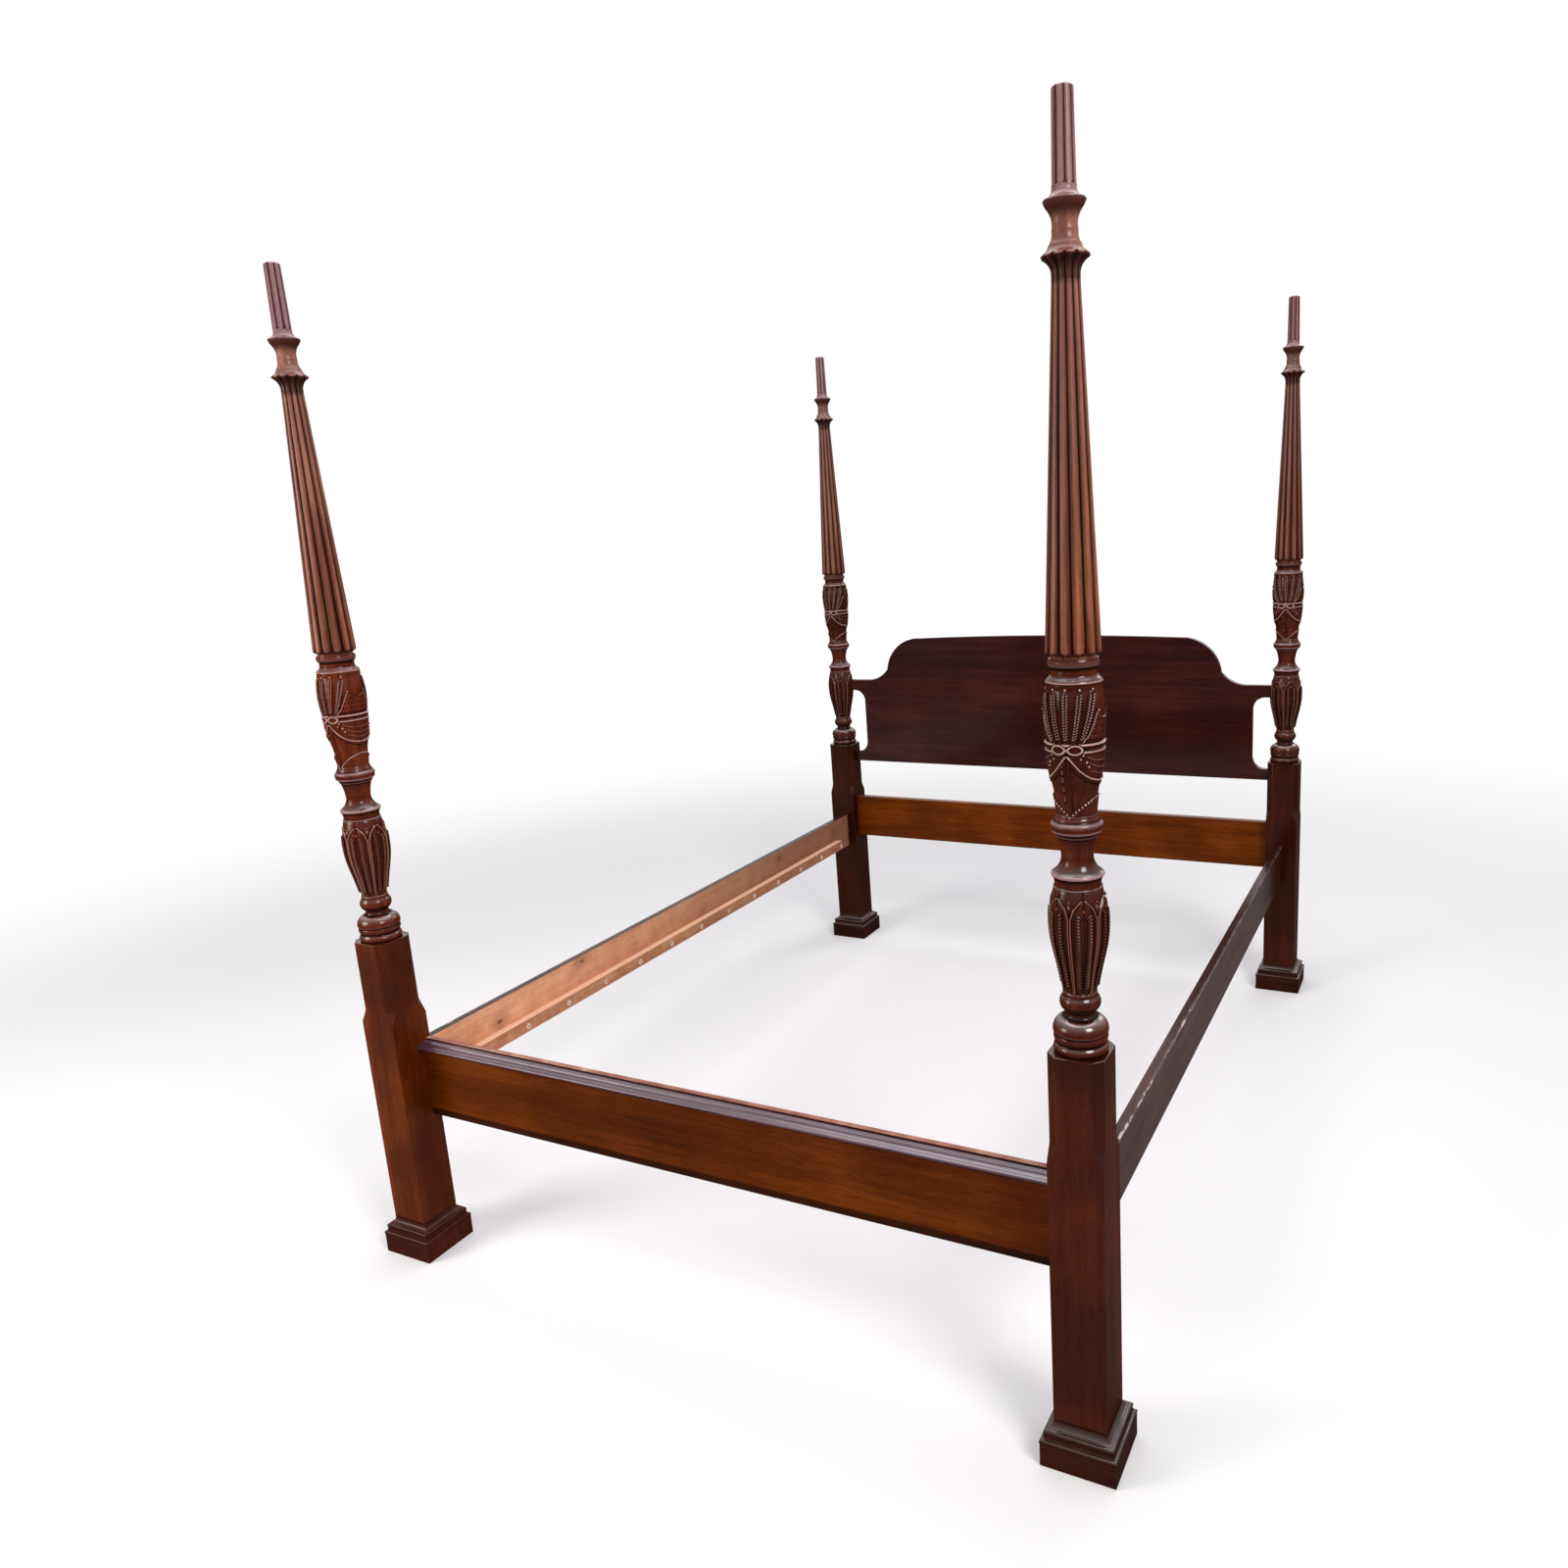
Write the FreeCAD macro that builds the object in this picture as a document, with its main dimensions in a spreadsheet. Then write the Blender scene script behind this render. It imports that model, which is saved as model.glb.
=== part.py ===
import FreeCAD, Part
import math
import os
import re
import Sketcher

# A four-poster bed. X runs across the bed, Y from its foot to its head and Z up,
# and the origin lies on the floor at the middle of the bed.

# Driving sizes in millimetres, and counts
sizes = {
    "post_spacing_across": 1585,
    "post_spacing_along": 2150,
    # Posts: square block, turned vases, reeded column and fluted finial
    "block_side": 94,
    "plinth_side": 133,
    "plinth_height": 86,
    "block_height": 669,
    "turning_height": 623,
    "turning_radius": 46,
    "column_height": 605,
    "column_radius": 41.7,
    "finial_height": 153,
    "finial_radius": 29.5,
    "reed_count": 12,
    "flute_count": 8,
    "chamfer_leg": 17,
    "chamfer_length": 157,
    "chamfer_stop": 30,
    # What joins the lengths of a post
    "foot_tenon_radius": 20,
    "foot_tenon_length": 50,
    "column_dowel_radius": 10,
    "column_dowel_length": 110,
    "finial_pin_radius": 4,
    "finial_pin_length": 90,
    "pin_clearance": 0.08,
    "pin_end_gap": 1,
    # Rails across the foot and the head
    "foot_rail_bottom": 326,
    "foot_rail_height": 182,
    "foot_rail_thickness": 23.5,
    "head_rail_bottom": 404,
    "head_rail_height": 152,
    "head_rail_thickness": 24,
    "head_rail_face_inset": 19,
    "rail_tenon_length": 30,
    "rail_tenon_thickness": 12,
    "rail_tenon_shoulder": 15,
    # Moulding along the top of the foot rail
    "moulding_rabbet": 11,
    "moulding_projection": 15.5,
    "moulding_drop": 3.5,
    "moulding_height": 14.5,
    # Headboard panel
    "headboard_thickness": 20,
    "headboard_outset": 5,
    "headboard_bottom": 691,
    "headboard_height": 465,
    "headboard_shoulder_half": 486,
    "headboard_shoulder_height": 456,
    "headboard_ogee_half": 594,
    "headboard_ogee_height": 345,
    "headboard_ear_half": 682,
    "headboard_ear_top": 305,
    "headboard_cutout_low": 35,
    "headboard_cutout_high": 267,
    "headboard_cutout_half": 693,
    "headboard_cutout_radius": 40,
    "headboard_tenon_depth": 26,
    # Side rails with their ledgers
    "side_rail_bottom": 367,
    "side_rail_height": 121.5,
    "side_rail_thickness": 21,
    "side_rail_outset": 5,
    "ledger_bottom": 382,
    "ledger_height": 31,
    "ledger_width": 22,
    "ledger_foot_gap": 4,
    "ledger_head_gap": 95,
    "ledger_screw_first": 153,
    "ledger_screw_pitch": 150,
    "ledger_screw_rise": 12,
    "ledger_screw_length": 36,
    # Hook plates on the rails and slotted plates in the posts
    "plate_width": 18,
    "plate_height": 118,
    "plate_thickness": 3,
    "plate_screw_inset": 6,
    "plate_screw_length": 30,
    "hook_thickness": 3,
    "hook_spacing": 50,
    "hook_neck": 16,
    "hook_drop": 12,
    "hook_nose": 5,
    "hook_lift": 14,
    "running_gap": 0.3,
    # Screws
    "screw_head_radius": 4,
    "screw_head_height": 2.5,
    "screw_shank_radius": 2.2,
    "cut_overrun": 2,
}

# Sizes worked out from the driving ones
derived = {
    "block_half": "block_side / 2",
    "block_top": "plinth_height + block_height",
    "turning_top": "block_top + turning_height",
    "column_top": "turning_top + column_height",
    "clear_width": "post_spacing_across - block_side",
    "clear_length": "post_spacing_along - block_side",
    "foot_rail_inset": "block_half - foot_rail_thickness / 2",
    "head_rail_inset": "head_rail_face_inset - head_rail_thickness / 2",
    "foot_rail_middle": "foot_rail_bottom + foot_rail_height / 2",
    "head_rail_middle": "head_rail_bottom + head_rail_height / 2",
    "side_rail_middle": "side_rail_bottom + side_rail_height / 2",
    "side_rail_inset": "side_rail_thickness / 2 - side_rail_outset",
    "side_rail_length": "clear_length - 2 * running_gap",
    "ledger_length": "clear_length - ledger_foot_gap - ledger_head_gap",
    "ledger_inset": "side_rail_inset + side_rail_thickness / 2 + ledger_width / 2",
    "moulding_depth": "moulding_rabbet + moulding_projection",
    "moulding_rabbet_height": "moulding_height + moulding_drop",
    "hook_reach": "running_gap + plate_thickness + running_gap + hook_nose",
    "hook_pocket_depth": "plate_thickness + hook_nose + 3 * running_gap",
    "slot_width": "hook_thickness + 2 * running_gap",
    "slot_height": "hook_neck + hook_lift + 2 * running_gap",
}

# Outlines of the turned lengths. Each row ends one stretch: its share of the height,
# its share of the radius, and the rise of its arc, outward, as a share of its chord.
vase_shares = [
    (0.000, 0.880, 0.00),
    (0.023, 0.880, 0.22),
    (0.027, 0.850, 0.00),
    (0.050, 0.900, 0.20),
    (0.054, 0.955, 0.00),
    (0.091, 0.650, 0.18),
    (0.114, 0.610, -0.38),
    (0.151, 0.600, 0.20),
    (0.164, 0.580, 0.00),
    (0.265, 0.860, -0.01),
    (0.433, 0.860, 0.06),
    (0.443, 0.780, 0.00),
    (0.468, 0.890, -0.10),
    (0.475, 0.830, 0.20),
    (0.517, 0.535, -0.13),
    (0.563, 0.655, -0.03),
    (0.566, 0.700, 0.00),
    (0.573, 0.715, 0.10),
    (0.576, 0.775, 0.00),
    (0.587, 0.845, 0.20),
    (0.602, 0.845, 0.12),
    (0.612, 0.745, -0.15),
    (0.619, 0.695, 0.00),
    (0.679, 0.780, 0.00),
    (0.814, 0.985, 0.03),
    (0.931, 0.935, 0.04),
    (0.955, 0.826, 0.15),
    (0.968, 0.740, -0.20),
    (0.981, 0.793, -0.20),
    (1.000, 0.793, 0.16),
]
column_collar_shares = [
    (0.851, 0.490, 0.00),
    (0.864, 0.492, 0.00),
    (0.902, 0.815, -0.15),
    (0.908, 0.790, 0.20),
    (0.929, 0.552, -0.10),
    (0.959, 0.444, -0.10),
    (1.000, 0.552, -0.10),
]
finial_collar_shares = [
    (0.000, 0.780, 0.00),
    (0.072, 1.000, 0.05),
    (0.092, 0.950, 0.20),
    (0.203, 0.593, -0.20),
]
# Outlines that round off the ends of the reeds and of the flutes
reed_limit_shares = [
    (0.000, 0.815, 0.00),
    (0.007, 0.815, 0.00),
    (0.027, 1.050, 0.18),
    (0.851, 1.050, 0.00),
]
flute_limit_shares = [
    (0.203, 0.700, 0.00),
    (0.880, 0.700, 0.00),
    (0.880, 0.560, 0.00),
    (1.000, 0.360, 0.22),
]
plinth_shares = [
    (0.000, 1.000, 0.00),
    (0.523, 1.000, 0.00),
    (0.605, 0.932, 0.35),
    (0.616, 0.917, 0.00),
    (0.709, 0.917, 0.00),
    (0.802, 0.842, 0.30),
    (0.814, 0.827, 0.00),
]
# Radii of the reeds and flutes at their two ends, and of the scallops round the collar
reed_low_share = 1.015
reed_high_share = 0.492
flute_low_share = 0.580
flute_high_share = 0.515
scallop_share = 0.830
scallop_end_share = 0.929
# How far the groove between two reeds lies inside them, as a share of the radius
reed_groove_share = 0.13
flute_groove_share = 0.12
scallop_groove_share = 0.07
# The foot moulding from its back edge: share of its depth, of its height, and the rise of the arc
moulding_shares = [
    (0.00, 1.00, 0.00),
    (0.17, 0.97, 0.00),
    (0.19, 0.90, 0.00),
    (0.42, 0.86, 0.00),
    (0.44, 0.76, 0.00),
    (0.82, 0.52, -0.12),
    (0.88, 0.46, 0.00),
    (1.00, 0.18, 0.22),
    (0.95, 0.00, 0.10),
    (0.00, 0.00, 0.00),
]

document = FreeCAD.newDocument("four_poster_bed")
sheet = document.addObject("Spreadsheet::Sheet", "Sizes")
cells = [(name, str(number)) for name, number in sizes.items()]
cells += [(name, "=" + formula) for name, formula in derived.items()]
for row, (name, content) in enumerate(cells, start=1):
    sheet.set("A%d" % row, name)
    sheet.set("B%d" % row, content)
    sheet.setAlias("B%d" % row, name)
document.recompute()

Vector = FreeCAD.Vector
up = Vector(0, 0, 1)
nodes = []


def value(name):
    return float(getattr(sheet, name))


def formula(text):
    return re.sub(r"[a-z]+(_[a-z]+)+", lambda word: "Sizes." + word.group(), str(text))


def bind(item, **properties):
    for name, text in properties.items():
        item.setExpression(name, formula(text))


def place(item, x=0, y=0, z=0):
    for axis, text in zip("xyz", (x, y, z)):
        item.setExpression("Placement.Base." + axis, formula(text))
    return item


def node(item, label):
    item.Label = label
    nodes.append(item)
    return item


# Sketches and features of a body
def sketch_on(body, name, role, across=0, along=0, out=0):
    plane = next(item for item in body.Origin.OriginFeatures if item.Role == role)
    sketch = body.newObject("Sketcher::SketchObject", name)
    sketch.AttachmentSupport = (plane, [""])
    sketch.MapMode = "FlatFace"
    for axis, text in zip("xyz", (across, along, out)):
        sketch.setExpression("AttachmentOffset.Base." + axis, formula(text))
    return sketch


def rectangle(sketch, width, height):
    corners = [Vector(-1, -1), Vector(1, -1), Vector(1, 1), Vector(-1, 1)]
    for index in range(4):
        sketch.addGeometry(Part.LineSegment(corners[index], corners[(index + 1) % 4]))
    for index in range(4):
        sketch.addConstraint(Sketcher.Constraint("Coincident", index, 2, (index + 1) % 4, 1))
    for index, kind in enumerate(["Horizontal", "Vertical", "Horizontal", "Vertical"]):
        sketch.addConstraint(Sketcher.Constraint(kind, index))
    sketch.addConstraint(Sketcher.Constraint("Symmetric", 0, 1, 1, 2, -1, 1))
    for kind, side, label, text in (("DistanceX", 0, "width", width), ("DistanceY", 1, "height", height)):
        index = sketch.addConstraint(Sketcher.Constraint(kind, side, 1, side, 2, 2.0))
        sketch.renameConstraint(index, label)
        sketch.setExpression("Constraints." + label, formula(text))


def circle(sketch, radius):
    sketch.addGeometry(Part.Circle(Vector(), up, 1))
    sketch.addConstraint(Sketcher.Constraint("Coincident", 0, 3, -1, 1))
    index = sketch.addConstraint(Sketcher.Constraint("Radius", 0, 1.0))
    sketch.renameConstraint(index, "radius")
    sketch.setExpression("Constraints.radius", formula(radius))


def feature(body, kind, sketch, length, both_ways=False, reverse=False):
    item = body.newObject("PartDesign::" + kind, kind)
    item.Profile = sketch
    item.SideType = "Symmetric" if both_ways else "One side"
    item.Reversed = reverse
    bind(item, Length=length)
    body.Tip = item
    return item


def outline_edges(points, bows):
    edges = []
    for start, end, bow in zip(points, points[1:], bows[1:]):
        if bow == 0:
            edges.append(Part.LineSegment(start, end))
            continue
        chord = end - start
        outward = Vector(chord.y, -chord.x)
        edges.append(Part.Arc(start, (start + end) / 2 + outward * bow, end))
    return edges


def turned_edges(shares, height, radius, base):
    points = [Vector(radius * across, base + height * rise) for rise, across, bow in shares]
    bows = [bow for rise, across, bow in shares]
    edges = outline_edges(points, bows)
    foot = Vector(0, points[0].y)
    head = Vector(0, points[-1].y)
    return edges + [Part.LineSegment(points[-1], head), Part.LineSegment(head, foot),
                    Part.LineSegment(foot, points[0])]


def turned_solid(shares, height, radius):
    edges = [edge.toShape() for edge in turned_edges(shares, height, radius, 0)]
    face = Part.Face(Part.Wire(edges))
    face.rotate(Vector(), Vector(1, 0, 0), 90)
    return face.revolve(Vector(), up, 360)


# Plain solids, given by their size and the middle of their underside
def block(label, across, along, height, x=0, y=0, z=0):
    item = document.addObject("Part::Box", label)
    bind(item, Length=across, Width=along, Height=height)
    return place(item, "%s - (%s) / 2" % (x, across), "%s - (%s) / 2" % (y, along), z)


def cylinder(label, radius, height, x=0, y=0, z=0):
    item = document.addObject("Part::Cylinder", label)
    bind(item, Radius=radius, Height=height)
    return place(item, x, y, z)


def fuse(label, solids):
    if len(solids) == 1:
        return solids[0]
    item = document.addObject("Part::MultiFuse", label)
    item.Shapes = solids
    return item


def cut(label, base, tools):
    item = document.addObject("Part::Cut", label)
    item.Base = base
    item.Tool = fuse(label + "_cuts", tools)
    return item


# Countersunk wood screws, or the holes that they fill. Each place has the middle of
# the head's face and the way the screw points.
def screws(label, places, length):
    head = value("screw_head_height")
    shank = value("screw_shank_radius")
    tip = length - shank
    outline = [Vector(0, 0, 0), Vector(value("screw_head_radius"), 0, 0), Vector(shank, 0, head),
               Vector(shank, 0, tip), Vector(0, 0, length), Vector(0, 0, 0)]
    screw = Part.Face(Part.makePolygon(outline)).revolve(Vector(), up, 360)
    copies = []
    for middle, direction in places:
        copy = screw.copy()
        copy.Placement = FreeCAD.Placement(middle, FreeCAD.Rotation(up, direction))
        copies.append(copy)
    item = document.addObject("Part::Feature", label)
    item.Shape = Part.makeCompound(copies)
    return item


# A closed outline of rounded reeds, all round a circle
def reed_outline(count, radius, height, groove_share):
    step = 2 * math.pi / count

    def point(turn, distance):
        return Vector(distance * math.cos(turn), distance * math.sin(turn), height)

    groove = radius * (1 - groove_share)
    edges = []
    for index in range(int(count)):
        turn = (index - 0.5) * step
        arc = Part.Arc(point(turn, groove), point(turn + step / 2, radius), point(turn + step, groove))
        edges.append(arc.toShape())
    return Part.Wire(edges)


def reeded_solid(count, radii, heights, groove_share):
    wires = [reed_outline(count, *end, groove_share) for end in zip(radii, heights)]
    return Part.makeLoft(wires, True, True)


# Cutter for the four chamfered edges of a block, each with a sloping stop at its foot
def chamfer_cutter():
    half = value("block_half")
    leg = value("chamfer_leg")
    over = value("cut_overrun")
    high = value("block_top") + over
    low = value("block_top") - value("chamfer_length")
    tip = low - value("chamfer_stop") * (1 + 2 * over / leg)
    near = half - leg - over
    far = half + over
    tall = [Vector(near, far, high), Vector(far, near, high), Vector(far, far, high)]
    short = [Vector(near, far, low), Vector(far, near, low), Vector(far, far, tip)]
    rings = [tall, short,
             [tall[0], tall[1], short[1], short[0]],
             [tall[1], tall[2], short[2], short[1]],
             [tall[2], tall[0], short[0], short[2]]]
    faces = [Part.Face(Part.makePolygon(ring + ring[:1])) for ring in rings]
    corner = Part.Solid(Part.Shell(faces))
    copies = []
    for quarter in range(4):
        copy = corner.copy()
        copy.rotate(Vector(), up, 90 * quarter)
        copies.append(copy)
    item = document.addObject("Part::Feature", "chamfer_cutter")
    item.Shape = Part.makeCompound(copies)
    return item


# Square block with its turned vases, the tenon into the plinth and the dowel socket
def post_body(label):
    body = document.addObject("PartDesign::Body", label + "_body")
    square = sketch_on(body, "square", "XY_Plane", out="plinth_height")
    rectangle(square, "block_side", "block_side")
    feature(body, "Pad", square, "block_height")
    profile = sketch_on(body, "profile", "XZ_Plane")
    edges = turned_edges(vase_shares, value("turning_height"), value("turning_radius"), value("block_top"))
    for edge in edges:
        profile.addGeometry(edge)
    turned = body.newObject("PartDesign::Revolution", "Revolution")
    turned.Profile = profile
    turned.ReferenceAxis = (profile, ["V_Axis"])
    turned.Angle = 360
    body.Tip = turned
    tenon = sketch_on(body, "tenon", "XY_Plane", out="plinth_height")
    circle(tenon, "foot_tenon_radius")
    feature(body, "Pad", tenon, "foot_tenon_length", reverse=True)
    socket = sketch_on(body, "socket", "XY_Plane", out="turning_top")
    circle(socket, "column_dowel_radius")
    feature(body, "Pocket", socket, "column_dowel_length / 2")
    return body


# Heights of the two hooks' necks, from their underside
def neck_bottoms():
    middle = "side_rail_middle - hook_neck / 2"
    return ["%s + %s * hook_spacing / 2" % (middle, sign) for sign in (-1, 1)]


# Cuts in a post for the rail that it carries: the plate's seat, the hooks' pockets and the screws
def plate_cuts(label, side, end):
    x = "%d * side_rail_inset" % -side
    seat = block(label + "_plate_seat", "plate_width", "plate_thickness", "plate_height", x,
                 "%d * (block_half - plate_thickness / 2)" % -end, "side_rail_middle - plate_height / 2")
    tools = [seat]
    for low in neck_bottoms():
        tools.append(block(label + "_hook_pocket", "slot_width", "hook_pocket_depth",
                           "slot_height + hook_drop", x,
                           "%d * (block_half - hook_pocket_depth / 2)" % -end,
                           low + " - running_gap - hook_drop"))
    return tools


def plate_screw_places(x, y, direction):
    middle = value("side_rail_middle")
    reach = value("plate_height") / 2 - value("plate_screw_inset")
    return [(Vector(x, y, middle + sign * reach), Vector(0, direction, 0)) for sign in (-1, 1)]


def post(side, end, label):
    name = "post_" + label
    tools = [chamfer_cutter()] + plate_cuts(name, side, end)
    places = plate_screw_places(-side * value("side_rail_inset"), -end * value("block_half"), end)
    tools.append(screws(name + "_screw_holes", places, value("plate_screw_length")))
    rail = "foot_rail" if end < 0 else "head_rail"
    tools.append(block(name + "_mortise", "rail_tenon_length", "rail_tenon_thickness",
                       rail + "_height - 2 * rail_tenon_shoulder",
                       "%d * (block_half - rail_tenon_length / 2)" % -side,
                       "%d * %s_inset" % (-end, rail), rail + "_bottom + rail_tenon_shoulder"))
    if end > 0:
        ears = [("headboard_bottom", "headboard_cutout_low"),
                ("headboard_bottom + headboard_cutout_high", "headboard_ear_top - headboard_cutout_high")]
        for low, height in ears:
            tools.append(block(name + "_ear_mortise", "headboard_tenon_depth + cut_overrun",
                               "headboard_thickness", height,
                               "%d * (block_half + cut_overrun / 2 - headboard_tenon_depth / 2)" % -side,
                               "headboard_outset", low))
    item = cut(name, post_body(name), tools)
    place(item, "%d * post_spacing_across / 2" % side, "%d * post_spacing_along / 2" % end)
    return node(item, name)


# Moulded square foot under a post: its outline run along both sides and mitred
def plinth(side, end, label):
    name = "plinth_" + label
    half = value("plinth_side") / 2
    rows = plinth_shares + [(1, value("block_half") / half, -0.2)]
    points = [Vector(half * across, value("plinth_height") * rise) for rise, across, bow in rows]
    right = outline_edges(points, [bow for rise, across, bow in rows])
    edges = [edge.toShape() for edge in right]
    mirrored = [edge.mirror(Vector(), Vector(1, 0, 0)) for edge in edges]
    foot = Part.makeLine(Vector(-points[0].x, points[0].y), points[0])
    head = Part.makeLine(Vector(-points[-1].x, points[-1].y), points[-1])
    face = Part.Face(Part.Wire(Part.__sortEdges__(edges + mirrored + [foot, head])))
    face.rotate(Vector(), Vector(1, 0, 0), 90)
    reach = value("plinth_side")
    face.translate(Vector(0, reach, 0))
    along = face.extrude(Vector(0, -2 * reach, 0))
    across = along.copy()
    across.rotate(Vector(), up, 90)
    moulded = document.addObject("Part::Feature", name + "_moulded")
    moulded.Shape = along.common(across)
    bore = cylinder(name + "_bore", "foot_tenon_radius", "foot_tenon_length + cut_overrun",
                    z="plinth_height - foot_tenon_length")
    item = cut(name, moulded, [bore])
    place(item, "%d * post_spacing_across / 2" % side, "%d * post_spacing_along / 2" % end)
    return node(item, name)


# Reeded column with its scalloped collar and neck
def column(side, end, label):
    name = "column_" + label
    height = value("column_height")
    radius = value("column_radius")
    count = value("reed_count")
    collar_start = height * column_collar_shares[0][0]
    collar_end = height * scallop_end_share
    reeds = reeded_solid(count, (radius * reed_low_share, radius * reed_high_share), (0, collar_start),
                         reed_groove_share)
    rim = radius * scallop_share
    scallops = reeded_solid(count, (rim, rim), (collar_start, collar_end), scallop_groove_share)
    neck = Part.makeCylinder(rim, height - collar_end, Vector(0, 0, collar_end))
    collar = turned_solid(column_collar_shares, height, radius)
    pieces = [turned_solid(reed_limit_shares, height, radius).common(reeds)]
    pieces += [collar.common(form) for form in (scallops, neck)]
    turned = document.addObject("Part::Feature", name + "_turned")
    turned.Shape = pieces[0].multiFuse(pieces[1:])
    socket = cylinder(name + "_socket", "column_dowel_radius", "column_dowel_length / 2")
    bore = cylinder(name + "_bore", "finial_pin_radius", "finial_pin_length / 2",
                    z="column_height - finial_pin_length / 2")
    item = cut(name, turned, [socket, bore])
    place(item, "%d * post_spacing_across / 2" % side, "%d * post_spacing_along / 2" % end, "turning_top")
    return node(item, name)


# Collar and fluted spindle that caps a post
def finial(side, end, label):
    name = "finial_" + label
    height = value("finial_height")
    radius = value("finial_radius")
    flutes = reeded_solid(value("flute_count"), (radius * flute_low_share, radius * flute_high_share),
                          (height * flute_limit_shares[0][0], height), flute_groove_share)
    spindle = turned_solid(flute_limit_shares, height, radius).common(flutes)
    turned = document.addObject("Part::Feature", name + "_turned")
    turned.Shape = turned_solid(finial_collar_shares, height, radius).fuse(spindle)
    bore = cylinder(name + "_bore", "finial_pin_radius + pin_clearance",
                    "finial_pin_length / 2 + pin_end_gap")
    item = cut(name, turned, [bore])
    place(item, "%d * post_spacing_across / 2" % side, "%d * post_spacing_along / 2" % end,
          "column_top + running_gap")
    return node(item, name)


def post_rods(side, end, label):
    x = "%d * post_spacing_across / 2" % side
    y = "%d * post_spacing_along / 2" % end
    dowel = cylinder("dowel", "column_dowel_radius", "column_dowel_length", x, y,
                     "turning_top - column_dowel_length / 2")
    node(dowel, "column_dowel_" + label)
    pin = cylinder("pin", "finial_pin_radius", "finial_pin_length", x, y,
                   "column_top - finial_pin_length / 2")
    node(pin, "finial_pin_" + label)


# Board between two posts, with a tenon at each end
def cross_rail(name, end):
    body = document.addObject("PartDesign::Body", name + "_body")
    board = sketch_on(body, "board", "YZ_Plane", along=name + "_middle")
    rectangle(board, name + "_thickness", name + "_height")
    feature(body, "Pad", board, "clear_width", both_ways=True)
    tenon = sketch_on(body, "tenon", "YZ_Plane", along=name + "_middle")
    rectangle(tenon, "rail_tenon_thickness", name + "_height - 2 * rail_tenon_shoulder")
    feature(body, "Pad", tenon, "clear_width + 2 * rail_tenon_length", both_ways=True)
    if end < 0:
        rabbet = sketch_on(body, "rabbet", "YZ_Plane",
                           across="(moulding_rabbet - foot_rail_thickness) / 2 - cut_overrun / 2",
                           along="foot_rail_bottom + foot_rail_height"
                                 " + (cut_overrun - moulding_rabbet_height) / 2")
        rectangle(rabbet, "moulding_rabbet + cut_overrun", "moulding_rabbet_height + cut_overrun")
        feature(body, "Pocket", rabbet, "clear_width + 2 * cut_overrun", both_ways=True)
    place(body, y="%d * (post_spacing_along / 2 - %s_inset)" % (end, name))
    return node(body, name)


# Moulding let into the front top edge of the foot rail
def foot_rail_moulding():
    body = document.addObject("PartDesign::Body", "foot_rail_moulding_body")
    section = sketch_on(body, "section", "YZ_Plane")
    depth = value("moulding_depth")
    height = value("moulding_height")
    points = [Vector(-depth * back, height * rise) for back, rise, bow in moulding_shares]
    for edge in outline_edges(points + points[:1], [bow for back, rise, bow in moulding_shares] + [0]):
        section.addGeometry(edge)
    feature(body, "Pad", section, "clear_width", both_ways=True)
    place(body, y="block_half - foot_rail_thickness + moulding_rabbet - post_spacing_along / 2",
          z="foot_rail_bottom + foot_rail_height - moulding_rabbet_height")
    return node(body, "foot_rail_moulding")


# Headboard panel: ogee shoulders, and an ear into each post above and below the side cut-outs
def headboard():
    body = document.addObject("PartDesign::Body", "headboard_body")
    outline = sketch_on(body, "outline", "XZ_Plane", along="headboard_bottom")
    ear_end = value("clear_width") / 2 + value("headboard_tenon_depth")
    shoulder = Vector(value("headboard_shoulder_half"), value("headboard_shoulder_height"))
    ogee = Vector(value("headboard_ogee_half"), value("headboard_ogee_height"))
    ear = Vector(value("headboard_ear_half"), value("headboard_ear_top"))
    inner = value("headboard_cutout_half")
    low = value("headboard_cutout_low")
    high = value("headboard_cutout_high")
    bend = value("headboard_cutout_radius")
    points = [Vector(ear_end, 0), Vector(ear_end, low), Vector(inner + bend, low), Vector(inner, low + bend),
              Vector(inner, high - bend), Vector(inner + bend, high), Vector(ear_end, high),
              Vector(ear_end, ear.y), ear, ogee, shoulder]
    quarter = (math.sqrt(2) - 1) / 2
    bows = [0, 0, 0, -quarter, 0, -quarter, 0, 0, 0, -0.12, 0.17]
    right = outline_edges(points, bows)
    left = outline_edges([Vector(-point.x, point.y) for point in points], [-bow for bow in bows])
    crown = Part.Arc(shoulder, Vector(0, value("headboard_height")), Vector(-shoulder.x, shoulder.y))
    bottom = Part.LineSegment(Vector(-ear_end, 0), Vector(ear_end, 0))
    for edge in right + [crown] + left + [bottom]:
        outline.addGeometry(edge)
    feature(body, "Pad", outline, "headboard_thickness", both_ways=True)
    place(body, y="post_spacing_along / 2 + headboard_outset")
    return node(body, "headboard")


# Place of the rail's hooks and plates at one end, at the joint between rail and post
def plate_x(side):
    return "%d * (post_spacing_across / 2 - side_rail_inset)" % side


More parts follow.
